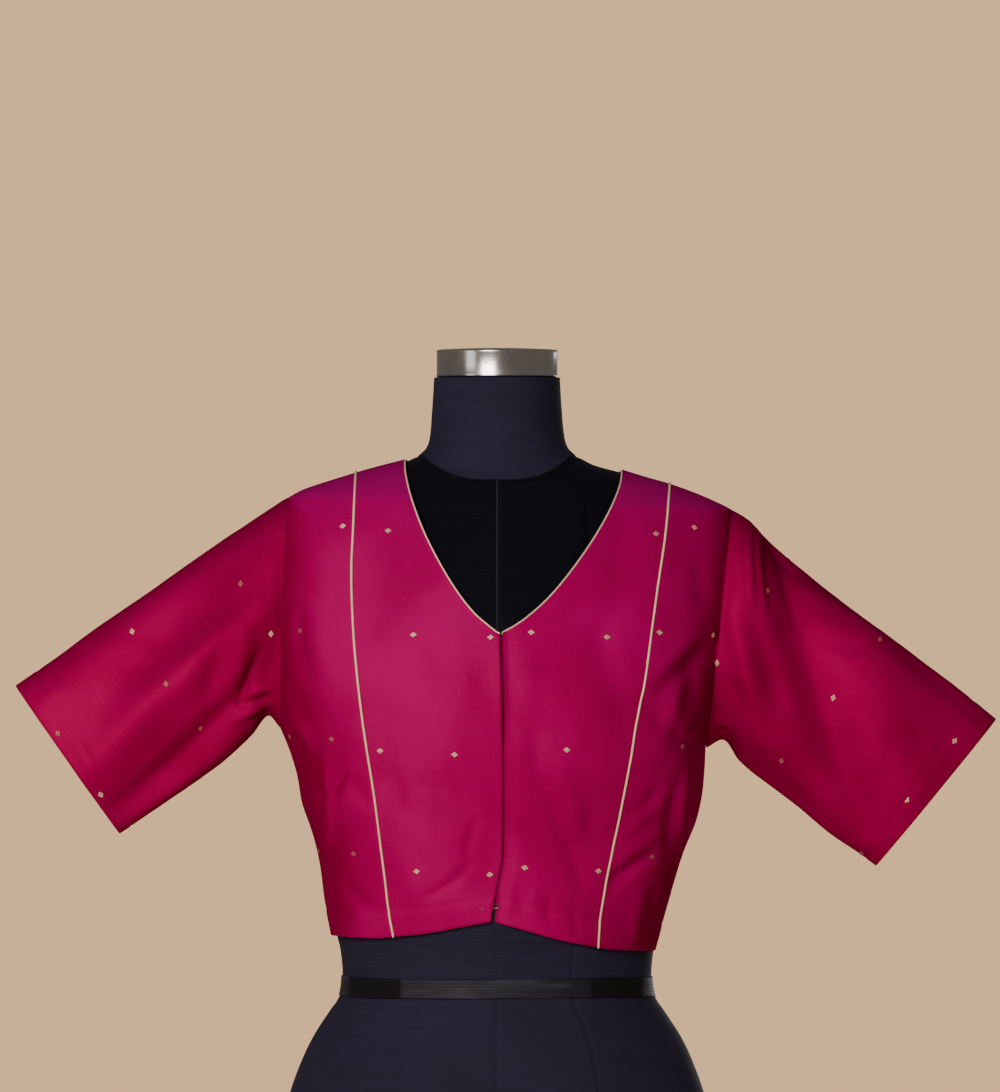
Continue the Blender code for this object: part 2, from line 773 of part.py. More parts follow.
def add_hook(material, collection):
    """Bent wire hook that lies on the underlap, just beside the opening edge."""
    edge = read(OPENING_EDGE, "x", HOOK_HEIGHT)
    lift = WALL / 2 + HOOK_WIRE_RADIUS + HOOK_CLEARANCE
    points = []
    for step in range(9):
        angle = math.pi * step / 8
        x = edge + HOOK_INSET + HOOK_LENGTH * math.sin(angle)
        height = HOOK_HEIGHT + HOOK_WIDTH / 2 * math.cos(angle)
        point = cloth_point(turn_of(x, height), height, "front", UNDERLAP_DROP)
        points.append(hang(point + Vector((0.0, -lift, 0.0))))
    return add_tube("hook_lowest", points, HOOK_WIRE_RADIUS, material, collection)


def build():
    clear_scene()
    collection = bpy.data.collections.new(COLLECTION_NAME)
    bpy.context.scene.collection.children.link(collection)

    silk = make_material("rani_silk", (0.42, 0.0, 0.075), 0.42)
    cord = make_material("gold_cord", (0.80, 0.50, 0.27), 0.4, 0.35)
    form_cloth = make_material("form_cloth", (0.012, 0.011, 0.014), 0.85)
    tape = make_material("form_tape", (0.02, 0.019, 0.022), 0.7)
    steel = make_material("polished_steel", (0.62, 0.60, 0.57), 0.22, 1.0)
    hook_steel = make_material("hook_steel", (0.18, 0.17, 0.17), 0.35, 1.0)

    right_front = centre_front(-1)
    left_front = centre_front(1)
    back = back_grid()
    add_cloth("front_centre_right", right_front, silk, collection)
    add_cloth("front_centre_left", with_underlap(left_front), silk, collection)
    add_cloth("front_side_right", side_front(-1), silk, collection)
    add_cloth("front_side_left", side_front(1), silk, collection)
    add_cloth("back", back, silk, collection)
    add_cloth("sleeve_right", sleeve_grid("left"), silk, collection, closed=True)
    add_cloth("sleeve_left", sleeve_grid("right"), silk, collection, closed=True)

    add_tube("princess_piping_right", princess_seam_points(-1), PRINCESS_PIPING_RADIUS, cord, collection)
    add_tube("princess_piping_left", princess_seam_points(1), PRINCESS_PIPING_RADIUS, cord, collection)
    neck_points = neck_seam_points(right_front, left_front, back)
    add_tube("neck_piping", neck_points, NECK_PIPING_RADIUS, cord, collection)
    add_hook(hook_steel, collection)

    add_form_body(form_cloth, collection)
    add_neck_cap(steel, collection)
    add_waist_tape(tape, collection)


build()
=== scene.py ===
"""Looks of a rani pink silk choli blouse worn by a limbless dress form.

Sizes are in millimetres, in the blouse's own upright frame: heights above the form's waist, x to
the viewer's right, front at -Y. Each piece is set in its place in metres at its end.
"""

import math
from bisect import bisect_right
from collections import namedtuple
from functools import lru_cache

import bmesh
import bpy
from mathutils import Matrix, Vector, noise


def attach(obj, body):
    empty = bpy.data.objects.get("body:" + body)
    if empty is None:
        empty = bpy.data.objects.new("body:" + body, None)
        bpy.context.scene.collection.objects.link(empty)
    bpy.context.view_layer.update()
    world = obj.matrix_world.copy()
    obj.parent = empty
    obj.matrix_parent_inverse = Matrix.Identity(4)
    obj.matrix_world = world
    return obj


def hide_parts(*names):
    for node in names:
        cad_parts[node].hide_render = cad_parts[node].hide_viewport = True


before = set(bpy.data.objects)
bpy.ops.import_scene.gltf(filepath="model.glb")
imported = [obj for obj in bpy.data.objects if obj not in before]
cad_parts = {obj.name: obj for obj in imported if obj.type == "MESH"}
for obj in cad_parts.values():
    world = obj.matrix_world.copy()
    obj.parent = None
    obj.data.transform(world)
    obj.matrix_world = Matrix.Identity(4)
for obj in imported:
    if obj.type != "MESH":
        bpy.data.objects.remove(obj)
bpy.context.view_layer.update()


# Dress form body: a padded shell from neck to hips, covered in black woven cotton. The cover is
# cut in gores, sewn at the centres, the sides and between them, and the neck is a piece of its
# own, set on along a curved seam.
MM = 0.001
WAIST = 190.0
STAND_UPRIGHT = Matrix.Translation((0, 0, WAIST * MM)) @ Matrix.Scale(MM, 4)
FormRing = namedtuple("FormRing", "height half_width front back power")
FORM_RINGS = [FormRing(*ring) for ring in (
    (-190, 171.0, 109.0, 120.0, 2.25), (-187, 174.5, 112.5, 123.5, 2.25),
    (-180, 176.5, 114.5, 126.0, 2.25), (-155, 178.0, 116.0, 128.0, 2.25),
    (-122, 175.5, 116.0, 126.5, 2.25), (-87, 167.5, 113.0, 118.0, 2.25),
    (-62, 158.5, 108.5, 109.0, 2.25), (-41, 148.5, 103.0, 100.0, 2.25),
    (-21, 135.5, 96.5, 91.0, 2.2), (-9, 127.5, 91.5, 86.0, 2.15), (8, 125.0, 90.0, 84.0, 2.15),
    (29, 126.8, 91.0, 84.5, 2.15), (44, 130.3, 94.0, 86.0, 2.2), (70, 134.5, 98.5, 88.5, 2.2),
    (115, 142.0, 107.5, 93.0, 2.2), (155, 148.5, 115.0, 98.0, 2.25),
    (198, 153.0, 122.5, 102.5, 2.3), (235, 155.5, 126.0, 104.5, 2.35),
    (265, 156.5, 121.0, 105.0, 2.3), (302, 157.5, 109.5, 104.5, 2.2),
    (340, 159.0, 95.5, 101.0, 2.1), (365, 160.0, 84.0, 95.0, 2.05), (385, 159.5, 73.5, 87.0, 2.0),
    (394, 156.5, 67.5, 81.5, 2.0), (400, 147.0, 64.0, 74.5, 2.0), (406, 131.5, 60.0, 68.5, 2.0),
    (411, 114.0, 56.0, 63.0, 2.0), (416, 96.0, 53.0, 59.0, 2.0), (421, 78.5, 51.5, 56.5, 2.0),
    (426.5, 67.5, 51.0, 55.0, 2.0), (433, 59.0, 50.5, 54.0, 2.0), (442, 55.0, 50.0, 53.0, 2.0),
    (466, 52.6, 50.5, 51.5, 2.0), (492, 51.0, 51.0, 49.0, 2.0),
)]
FORM_SEAM_ANGLES = [0, 27, 90, 152, 180, 208, 270, 333, 360]
FORM_GORE_COLUMNS = 20
FORM_BODY_ROWS = 150
FORM_NECK_ROWS = 40
FORM_NECK_SEAM_FRONT = 409.0
FORM_NECK_SEAM_SIDE = 428.0
FORM_NECK_SEAM_BACK = 436.0
NECK_SEAM_POWER = 3.0
NECK_SEAM_HALF = 58.8
CHEST_LOW, CHEST_HIGH = 255.0, 300.0
CENTRE_SEAM_HALF = 0.7
FORM_GROOVE = 0.55


def smooth_line(keys, values):
    """Reader of a smooth line through a table's column; past its ends the line stays level."""
    last = len(keys) - 1
    slopes = []
    for index in range(last + 1):
        before, after = max(index - 1, 0), min(index + 1, last)
        slopes.append((values[after] - values[before]) / (keys[after] - keys[before]))

    def read(at):
        if at <= keys[0]:
            return values[0]
        if at >= keys[last]:
            return values[last]
        low = bisect_right(keys, at) - 1
        span = keys[low + 1] - keys[low]
        t = (at - keys[low]) / span
        return (
            values[low] * (2 * t**3 - 3 * t**2 + 1)
            + slopes[low] * span * (t**3 - 2 * t**2 + t)
            + values[low + 1] * (3 * t**2 - 2 * t**3)
            + slopes[low + 1] * span * (t**3 - t**2)
        )

    return read


def smooth_columns(rows):
    """A reader for each column of a table whose first column rises."""
    keys = [row[0] for row in rows]
    names = rows[0]._fields[1:]
    return {name: smooth_line(keys, [getattr(row, name) for row in rows]) for name in names}


def blend(start, end, share):
    return start + (end - start) * share


def ease(share):
    share = min(max(share, 0.0), 1.0)
    return share * share * (3 - 2 * share)


def bell(distance, width):
    return math.exp(-((distance / width) ** 2))


def signed_power(value, exponent):
    return math.copysign(abs(value) ** exponent, value)


class Cloth:
    """A cloth piece in the making: a grid of points in millimetres, and their places in the cut."""

    def __init__(self, columns, rows, place, closed=False):
        self.closed = closed
        self.work = bmesh.new()
        bmesh.ops.create_grid(self.work, x_segments=columns, y_segments=rows, size=0.5)
        self.rows = [[None] * (columns + 1) for _ in range(rows + 1)]
        for vert in self.work.verts:
            row = round((vert.co.y + 0.5) * rows)
            self.rows[row][round((vert.co.x + 0.5) * columns)] = vert
        for row, line in enumerate(self.rows):
            for column, vert in enumerate(line):
                vert.co = place(column, row)
        self.cut = {}

    def column(self, index):
        return [line[index] for line in self.rows]

    def press(self, rise):
        """Move every point along its normal by rise(x, y, z, column, row)."""
        self.find_normals()
        moves = []
        for row, line in enumerate(self.rows):
            for column, vert in enumerate(line):
                moves.append((vert, vert.normal * rise(*vert.co, column, row)))
        for vert, move in moves:
            vert.co += move
        self.find_normals()

    def find_normals(self):
        self.work.normal_update()
        if self.closed:
            for line in self.rows:
                both = (line[0].normal + line[-1].normal).normalized()
                line[0].normal = both
                line[-1].normal = both

    def measure(self, grain, upright=True):
        """Lay the grid flat: lengths along the cloth from its grain line and from its first row."""
        along = [0.0] * len(self.rows[0])
        for row, line in enumerate(self.rows):
            if row:
                below = self.rows[row - 1]
                along = [up + (vert.co - low.co).length for up, vert, low in zip(along, line, below)]
            for step in (1, -1):
                across = 0.0
                stop = len(line) if step > 0 else -1
                for column in range(grain, stop, step):
                    if column != grain:
                        across += step * (line[column].co - line[column - step].co).length
                    up = along[column]
                    if upright:
                        up = along[grain] + line[column].co.z - line[grain].co.z
                    self.cut[line[column]] = (across, up)

    def carry_on(self, line, targets):
        """Take an edge of the cloth on through more rows of points, one new strip for each."""
        for row in targets:
            edges = [self.work.edges.get(pair) for pair in zip(line, line[1:])]
            made = bmesh.ops.extrude_edge_only(self.work, edges=edges)["geom"]
            fresh = {item for item in made if isinstance(item, bmesh.types.BMVert)}
            after = []
            for vert in line:
                ends = [edge.other_vert(vert) for edge in vert.link_edges]
                after.append(next(end for end in ends if end in fresh))
            for vert, new, point in zip(line, after, row):
                new.co = point
                self.cut[new] = self.cut[vert]
            line = after
        return line

    def turn_in(self, line, inner, steps):
        """Turn an edge in; each step is its distance past the edge and its depth under the cloth."""
        targets = [[] for _ in steps]
        ends = (line[-2], line[1]) if self.closed else (line[0], line[-1])
        for vert, within, before, after in zip(line, inner, [ends[0], *line], [*line[1:], ends[1]]):
            along = (after.co - before.co).normalized()
            away = vert.co - within.co
            away = (away - along * away.dot(along)).normalized()
            for target, (past, depth) in zip(targets, steps):
                target.append(vert.co + away * past - vert.normal * depth)
        return self.carry_on(line, targets)

    def turn_hem(self, line, rows_above, steps):
        """Fold a hem: a rounded edge, then the turned-up layer under the rows above it."""
        inner = rows_above[0]
        targets = [[], []]
        for vert, above in zip(line, inner):
            away = (vert.co - above.co).normalized()
            targets[0].append(vert.co + away * 0.35 - vert.normal * 0.35)
            targets[1].append(vert.co + away * 0.05 - vert.normal * HEM_LAYER)
        for step in steps:
            targets.append([vert.co - vert.normal * HEM_LAYER for vert in rows_above[step]])
        return self.carry_on(line, targets)

    def sew(self, name, material, thickness, place, outward, capped=False):
        """Turn the grid into the finished piece, with its UV map in metres of the cut."""
        cut_map = self.work.loops.layers.uv.new("cut")
        for face in self.work.faces:
            for loop in face.loops:
                across, up = self.cut[loop.vert]
                loop[cut_map].uv = (across * MM, up * MM)
        if self.closed:
            bmesh.ops.remove_doubles(self.work, verts=self.work.verts, dist=0.001)
        if capped:
            rims = [edge for edge in self.work.edges if edge.is_boundary]
            bmesh.ops.holes_fill(self.work, edges=rims, sides=0)
        bmesh.ops.recalc_face_normals(self.work, faces=self.work.faces)
        middle = self.rows[len(self.rows) // 2][len(self.rows[0]) // 2]
        self.work.normal_update()
        if middle.normal.dot(outward(middle.co)) < 0:
            bmesh.ops.reverse_faces(self.work, faces=self.work.faces)
        bmesh.ops.transform(self.work, matrix=place, verts=self.work.verts)
        piece = finished_piece(name, self.work, material)
        if thickness:
            wall = piece.modifiers.new("wall", "SOLIDIFY")
            wall.thickness = thickness * MM
            wall.offset = 0.0
        return piece


def finished_piece(name, work, material):
    """A smooth-shaded object from a bmesh, with its place in its mesh."""
    mesh = bpy.data.meshes.new(name)
    work.to_mesh(mesh)
    work.free()
    mesh.materials.append(material)
    mesh.shade_smooth()
    piece = bpy.data.objects.new(name, mesh)
    bpy.context.scene.collection.objects.link(piece)
    return piece


class Thread:
    """A socket in a material, on which ordinary arithmetic adds the nodes."""

    def __init__(self, finish, socket):
        self.finish = finish
        self.socket = socket

    def maths(self, operation, *values):
        sockets = dict(enumerate(values))
        return self.finish.add("ShaderNodeMath", {"operation": operation}, sockets)

    def __add__(self, other):
        return self.maths("ADD", self, other)

    def __radd__(self, other):
        return self.maths("ADD", other, self)

    def __sub__(self, other):
        return self.maths("SUBTRACT", self, other)

    def __rsub__(self, other):
        return self.maths("SUBTRACT", other, self)

    def __mul__(self, other):
        return self.maths("MULTIPLY", self, other)

    def __rmul__(self, other):
        return self.maths("MULTIPLY", other, self)

    def __truediv__(self, other):
        return self.maths("DIVIDE", self, other)

    def __pow__(self, other):
        return self.maths("POWER", self, other)

    def __lt__(self, other):
        return self.maths("LESS_THAN", self, other)

    def __abs__(self):
        return self.maths("ABSOLUTE", self)

    def sine(self):
        return self.maths("SINE", self)

    def between(self, low, high):
        """0 below low, 1 above high, and a smooth step from one to the other."""
        sockets = {"Value": self, "From Min": low, "From Max": high}
        return self.finish.add("ShaderNodeMapRange", {"interpolation_type": "SMOOTHSTEP"}, sockets)


class Finish:
    """One material and its nodes."""

    def __init__(self, name):
        self.material = bpy.data.materials.new(name)
        self.material.use_nodes = True
        self.tree = self.material.node_tree
        self.shader = self.tree.nodes["Principled BSDF"]

    def add(self, kind, settings=None, sockets=None, output=0):
        node = self.tree.nodes.new(kind)
        for key, value in (settings or {}).items():
            setattr(node, key, value)
        for key, value in (sockets or {}).items():
            self.feed(node.inputs[key], value)
        return Thread(self, node.outputs[output])

    def feed(self, socket, value):
        if isinstance(value, Thread):
            self.tree.links.new(value.socket, socket)
        elif isinstance(value, tuple) and len(value) == 3 and socket.type == "RGBA":
            socket.default_value = (*value, 1.0)
        else:
            socket.default_value = value

    def dye(self, mask, first, second):
        """Colour between two colours, by a mask."""
        settings = {"data_type": "RGBA"}
        return self.add("ShaderNodeMix", settings, {0: mask, 6: first, 7: second}, output=2)

    def cloud(self, place, size, detail=2.0, stretch=(1.0, 1.0, 1.0)):
        """Soft noise from 0 to 1 whose blots are about so many metres across."""
        vector = self.add("ShaderNodeVectorMath", {"operation": "MULTIPLY"}, {0: place, 1: stretch})
        sockets = {"Vector": vector, "Scale": 1.0 / size, "Detail": detail}
        return self.add("ShaderNodeTexNoise", None, sockets)

    def relief(self, height, distance, strength=1.0):
        """Bump of a height field from 0 to 1, whose full height is the distance in metres."""
        sockets = {"Height": height, "Distance": distance, "Strength": strength}
        return self.add("ShaderNodeBump", None, sockets)

    def set(self, values):
        for key, value in values.items():
            self.feed(self.shader.inputs[key], value)
        return self.material


def object_place(finish):
    return finish.add("ShaderNodeTexCoord", output=3)


def part_of(finish, vector, axis):
    """One number of a vector: 0 for X, 1 for Y, 2 for Z."""
    return finish.add("ShaderNodeSeparateXYZ", None, {0: vector}, output=axis)


def black_cover():
    """Black cotton with a fine ribbed weave; from the bust up to the neck seam it is near black all
    round.
    """
    finish = Finish("black_cover")
    place = object_place(finish)
    height = part_of(finish, place, 2)
    aside = abs(part_of(finish, place, 0))
    seam_climb = (FORM_NECK_SEAM_SIDE - FORM_NECK_SEAM_FRONT) * MM
    seam_rise = (aside / (NECK_SEAM_HALF * MM)) ** NECK_SEAM_POWER * seam_climb
    ribs = (height * 2100.0 + finish.cloud(place, 0.05) * 3.0).sine() * 0.5 + 0.5
    slub = finish.cloud(place, 0.004, 3.0, (0.12, 0.12, 1.0))
    fade = finish.cloud(place, 0.09, 3.0)
    tone = finish.dye(fade * 0.6 + slub * 0.5, (0.009, 0.0078, 0.019), (0.027, 0.0235, 0.051))
    low, high = (WAIST + CHEST_LOW) * MM, (WAIST + CHEST_HIGH) * MM
    neck_seam = (WAIST + FORM_NECK_SEAM_FRONT) * MM
    neck_low, neck_high = neck_seam - 0.5 * MM, neck_seam + MM
    chest = height.between(low, high) * (1.0 - (height - seam_rise).between(neck_low, neck_high))
    colour = finish.dye(chest * 0.92, tone, (0.0006, 0.0005, 0.0022))
    front_seam = (aside < CENTRE_SEAM_HALF * MM) * (part_of(finish, place, 1) < 0.0)
    colour = finish.dye(chest * front_seam, colour, (0.02, 0.018, 0.024))
    bump = finish.relief(ribs * 0.6 + slub * 0.8, 0.00025, 0.8)
    return finish.set({
        "Base Color": colour,
        "Roughness": 0.72 + slub * 0.2,
        "Normal": bump,
        "Specular IOR Level": 0.12,
        "Sheen Weight": 0.03,
        "Sheen Roughness": 0.5,
        "Sheen Tint": (0.3, 0.28, 0.5),
    })


form = smooth_columns(FORM_RINGS)


def form_point(angle, height, out=0.0):
    """Point of the form's surface; the angle is 0 at the front and grows to the viewer's right."""
    turn = math.radians(angle)
    half_width = form["half_width"](height) + out
    exponent = 2 / form["power"](height)
    depth = form["front" if math.cos(turn) >= 0 else "back"](height) + out
    x = half_width * signed_power(math.sin(turn), exponent)
    return Vector((x, -depth * signed_power(math.cos(turn), exponent), height))


def form_seam_height(angle):
    turn = math.radians(angle)
    side = abs(math.sin(turn))
    end = FORM_NECK_SEAM_FRONT if math.cos(turn) > 0 else FORM_NECK_SEAM_BACK
    return blend(end, FORM_NECK_SEAM_SIDE, side**NECK_SEAM_POWER)


def form_angle(column):
    """Angles of the form's columns, which stand closest beside the seams."""
    gore, step = divmod(column, FORM_GORE_COLUMNS)
    if gore == len(FORM_SEAM_ANGLES) - 1:
        return 360.0
    share = step / FORM_GORE_COLUMNS
    share -= 0.8 * math.sin(2 * math.pi * share) / (2 * math.pi)
    return blend(FORM_SEAM_ANGLES[gore], FORM_SEAM_ANGLES[gore + 1], share)


def form_height(column, row):
    seam = form_seam_height(form_angle(column))
    if row <= FORM_BODY_ROWS:
        share = row / FORM_BODY_ROWS
        share = 0.7 * math.sin(math.pi * share / 2) + 0.3 * share
        return blend(FORM_RINGS[0].height, seam, share)
    share = (row - FORM_BODY_ROWS) / FORM_NECK_ROWS
    share = 1 - (0.7 * math.sin(math.pi * (1 - share) / 2) + 0.3 * (1 - share))
    return blend(seam, FORM_RINGS[-1].height, share)


def form_seams(x, y, z, column, row):
    """Grooves along the seams, with the cover swelling softly beside them."""
    angle = form_angle(column)
    radius = math.sqrt(form["half_width"](z) * form["front"](z))
    gap = min(abs(angle - seam) for seam in FORM_SEAM_ANGLES)
    gap = math.radians(gap) * radius
    rise = -FORM_GROOVE * bell(gap, 1.1) + 0.22 * bell(gap - 4.0, 2.4)
    if row > FORM_BODY_ROWS:
        rise = 0.0
    seam_gap = abs(z - form_seam_height(angle))
    rise += -FORM_GROOVE * 1.2 * bell(seam_gap, 1.0) + 0.25 * bell(seam_gap - 3.5, 2.0)
    slack = noise.noise(Vector((x, y, z)) * 0.035) + 0.4 * noise.noise(Vector((x, y, z)) * 0.11)
    return rise + 0.25 * slack


form_columns = FORM_GORE_COLUMNS * (len(FORM_SEAM_ANGLES) - 1)
cover = Cloth(
    form_columns,
    FORM_BODY_ROWS + FORM_NECK_ROWS,
    lambda column, row: form_point(form_angle(column), form_height(column, row)),
    closed=True,
)
cover.press(form_seams)
cover.measure(0, upright=False)
form_body = cover.sew(
    "form_cover",
    black_cover(),
    0,
    STAND_UPRIGHT,
    outward=lambda point: Vector((point.x, point.y, 0)),
    capped=True,
)
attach(form_body, "root")
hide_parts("form_body")


# Neck cap: a turned band of polished steel with a softly domed top, pressed on to the end of the
# neck. Its edges are rolled, and handling has left smudges and a few dull spots.
CAP_BOTTOM = 492.4
CAP_RADIUS = 49.2
CAP_HEIGHT = 23.8
CAP_STEPS = 144


def polished_steel():
    """Steel with brushed rings, smudges and small matt spots, and painted shade at its bottom edge."""
    finish = Finish("polished_steel")
    place = object_place(finish)
    height = part_of(finish, place, 2)
    rings = finish.cloud(place, 0.0016, 2.0, (0.02, 0.02, 1.0))
    smudge = finish.cloud(place, 0.022, 3.0)
    spots = finish.cloud(place, 0.0035, 1.0).between(0.70, 0.76)
    # Painted shade: the steel darkens towards its bottom edge, where the cap sits on the neck; the
    # same dark colour marks the dull spots.
    edge = height.between((WAIST + CAP_BOTTOM + 2.2) * MM, (WAIST + CAP_BOTTOM + 0.4) * MM)
    tone = finish.dye(smudge * 0.7 + rings * 0.3, (0.40, 0.365, 0.36), (0.68, 0.645, 0.63))
    colour = finish.dye(spots * 0.8 + edge * 0.5, tone, (0.10, 0.08, 0.08))
    bump = finish.relief(rings * 0.5 + smudge, 0.00012, 0.5)
    return finish.set({
        "Base Color": colour,
        "Metallic": 1.0 - spots * 0.4,
        "Roughness": 0.13 + smudge * 0.14 + spots * 0.3,
        "Normal": bump,
    })


def turned(profile, steps):
    """A bmesh turned round the upright axis from (radius, height) points that start on the axis."""
    work = bmesh.new()
    points = [work.verts.new((radius, 0, height)) for radius, height in profile]
    edges = [work.edges.new(pair) for pair in zip(points, points[1:])]
    bmesh.ops.spin(
        work,
        geom=points + edges,
        cent=(0, 0, 0),
        axis=(0, 0, 1),
        angle=2 * math.pi,
        steps=steps,
        use_merge=True,
    )
    bmesh.ops.remove_doubles(work, verts=work.verts, dist=0.0001)
    bmesh.ops.recalc_face_normals(work, faces=work.faces)
    return work


def rolled_edge(radius, height, size, start, stop, steps=4):
    """Points of a rounded corner about its centre, from one angle to another."""
    points = []
    for step in range(steps + 1):
        angle = math.radians(blend(start, stop, step / steps))
        points.append((radius + size * math.cos(angle), height + size * math.sin(angle)))
    return points


cap_profile = [(0, CAP_BOTTOM), (CAP_RADIUS - 3, CAP_BOTTOM)]
cap_profile += rolled_edge(CAP_RADIUS - 1.0, CAP_BOTTOM + 1.0, 1.0, -90, 0)
cap_profile += [(CAP_RADIUS - 0.35, CAP_BOTTOM + 2.6), (CAP_RADIUS - 0.35, CAP_BOTTOM + 10)]
cap_profile += [(CAP_RADIUS - 0.3, CAP_BOTTOM + 19.2)]
cap_profile += rolled_edge(CAP_RADIUS - 1.6, CAP_BOTTOM + 20.6, 1.6, 0, 80, 5)
cap_profile += [(CAP_RADIUS - 5, CAP_BOTTOM + 22.5), (30, CAP_BOTTOM + 23.1), (14, CAP_BOTTOM + 23.6)]
cap_profile += [(0, CAP_BOTTOM + CAP_HEIGHT)]
cap_work = turned(cap_profile, CAP_STEPS)
for vert in cap_work.verts:
    vert.co.x *= 1 + 0.004 * noise.noise(vert.co * 0.03)
    vert.co.y *= 1 + 0.004 * noise.noise(vert.co * 0.03 + Vector((7, 0, 0)))
bmesh.ops.transform(cap_work, matrix=STAND_UPRIGHT, verts=cap_work.verts)
neck_cap = finished_piece("steel_neck_cap", cap_work, polished_steel())
neck_cap.data.set_sharp_from_angle(angle=math.radians(50))
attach(neck_cap, "root")
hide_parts("form_neck_cap")


# Waist tape: a black cotton tape tacked round the form's waist, a little slack and rubbed, with a
# short dark velvet patch over each side of the front.
TAPE_LOW = -8.6
TAPE_HIGH = 7.6
TAPE_OUT = 0.75
TAPE_COLUMNS = 220
TAPE_ROWS = 10
PATCH_CENTRES = (-98.5, 96.5)
PATCH_HALF = 21.0
PATCH_EDGE = 2.0


def rubbed_tape():
    """Twill tape with fine ribs along it, greyed where it is rubbed, and the two velvet patches."""
    finish = Finish("rubbed_tape")
    place = object_place(finish)
    across = part_of(finish, place, 0)
    deep = part_of(finish, place, 1)
    height = part_of(finish, place, 2)
    ribs = (height * 2600.0).sine() * 0.5 + 0.5
    rub = finish.cloud(place, 0.016, 3.0, (0.35, 0.35, 1.6)).between(0.42, 0.68)
    front = deep < 0.0
    patch = 0.0
    for centre in PATCH_CENTRES:
        gap = abs(across - centre * MM)
        inside, outside = (PATCH_HALF - PATCH_EDGE) * MM, (PATCH_HALF + PATCH_EDGE) * MM
        patch = patch + (1.0 - gap.between(inside, outside))
    patch = patch * front
    tone = finish.dye(rub * 0.75, (0.008, 0.0075, 0.013), (0.036, 0.032, 0.052))
    colour = finish.dye(patch, tone, (0.0015, 0.0013, 0.002))
    bump = finish.relief(ribs + rub * 0.6, 0.0003, 0.7)
    return finish.set({
        "Base Color": colour,
        "Roughness": 0.62 + patch * 0.3,
        "Normal": bump,
        "Specular IOR Level": 0.3,
    })


def tape_slack(x, y, z, column, row):
    edge = abs(2 * row / TAPE_ROWS - 1)
    wave = noise.noise(Vector((x, y, 0)) * 0.05) * 0.5 + noise.noise(Vector((x, y, z)) * 0.16) * 0.25
    return 0.25 * (1 - edge**4) + 0.35 * abs(wave)


def tape_point(column, row):
    angle = 360 * column / TAPE_COLUMNS
    sway = 0.5 * math.sin(math.radians(angle * 3)) + 0.4 * noise.noise(Vector((angle * 0.05, 0, 0)))
    height = blend(TAPE_LOW, TAPE_HIGH, row / TAPE_ROWS) + sway
    return form_point(angle, height, TAPE_OUT)


tape = Cloth(TAPE_COLUMNS, TAPE_ROWS, tape_point, closed=True)
tape.press(tape_slack)
tape.measure(0, upright=False)
waist_tape = tape.sew(
    "waist_tape",
    rubbed_tape(),
    0.6,
    STAND_UPRIGHT,
    outward=lambda point: Vector((point.x, point.y, 0)),
)
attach(waist_tape, "root")
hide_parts("form_waist_tape")


# Back of the blouse: one piece of shot silk from side seam to side seam, scooped at the neck. Two
# darts take in the waist, its hem is turned up by hand, and its edges are turned in at the seams.
BLOUSE_TILT = math.radians(2.7)
BLOUSE_SHIFT = -6.0
HANG = (
    Matrix.Translation((BLOUSE_SHIFT * MM, 0, WAIST * MM))
    @ Matrix.Rotation(BLOUSE_TILT, 4, "Y")
    @ Matrix.Scale(MM, 4)
)
SILK = 0.5
SILK_WEAVE = 9000.0
HEM_LAYER = 0.85
LOWER_ROWS = 70
UPPER_ROWS = 86
BODY_ROWS = LOWER_ROWS + UPPER_ROWS
HEM_STEPS = (1, 3, 5, 7, 8)
SEAM_STEPS = ((0.16, 0.35), (0.16, 0.9), (-0.6, 1.5), (-2.4, 1.6))

Width = namedtuple("Width", "height left right")
SIDE_SEAM = smooth_columns([
    Width(20, 127.0, 129.0),
    Width(35, 130.0, 132.5),
    Width(62, 136.5, 138.5),
    Width(92, 142.0, 145.5),
    Width(115, 148.5, 151.5),
    Width(140, 158.5, 160.5),
    Width(162, 163.5, 164.5),
    Width(182, 170.5, 165.5),
    Width(200, 178.8, 165.5),
])
SHOULDER_LINE = smooth_columns([
    Width(387, 181.0, 186.0),
    Width(394, 169.0, 177.0),
    Width(404, 143.0, 153.0),
    Width(412, 120.5, 128.0),
    Width(417, 105.0, 107.0),
    Width(422, 88.5, 87.5),
    Width(427, 72.0, 69.0),
])
ABOVE_SHOULDER = 430.0
SHOULDER_END = 427.0

Depth = namedtuple("Depth", "height front back power")
BODY_DEPTH = smooth_columns([
    Depth(20, 95.0, 87.0, 2.15),
    Depth(54, 99.5, 90.0, 2.2),
    Depth(70, 103.0, 92.0, 2.2),
    Depth(115, 113.0, 97.5, 2.25),
    Depth(150, 120.5, 102.0, 2.3),
    Depth(198, 129.5, 107.0, 2.35),
    Depth(235, 133.0, 109.0, 2.4),
    Depth(262, 128.5, 110.0, 2.35),
    Depth(300, 117.0, 110.0, 2.2),
    Depth(340, 104.0, 107.5, 2.05),
    Depth(370, 91.5, 102.0, 2.0),
    Depth(390, 79.5, 94.5, 2.0),
    Depth(400, 70.5, 87.0, 2.0),
    Depth(411, 59.5, 76.0, 2.0),
    Depth(416, 53.0, 71.0, 2.0),
    Depth(422, 45.0, 62.0, 2.0),
    Depth(428, 35.0, 50.0, 2.0),
])
Hem = namedtuple("Hem", "reach front back")
HEM_LINE = smooth_columns([
    Hem(0, 54.0, 38.0),
    Hem(25, 48.5, 38.0),
    Hem(50, 42.5, 37.5),
    Hem(75, 38.3, 37.0),
    Hem(95, 35.6, 36.0),
    Hem(133, 35.0, 35.0),
])
HEM_END = 133.0
BACK_NECK_DROP = 23.0
BACK_NECK_HALF = 89.5

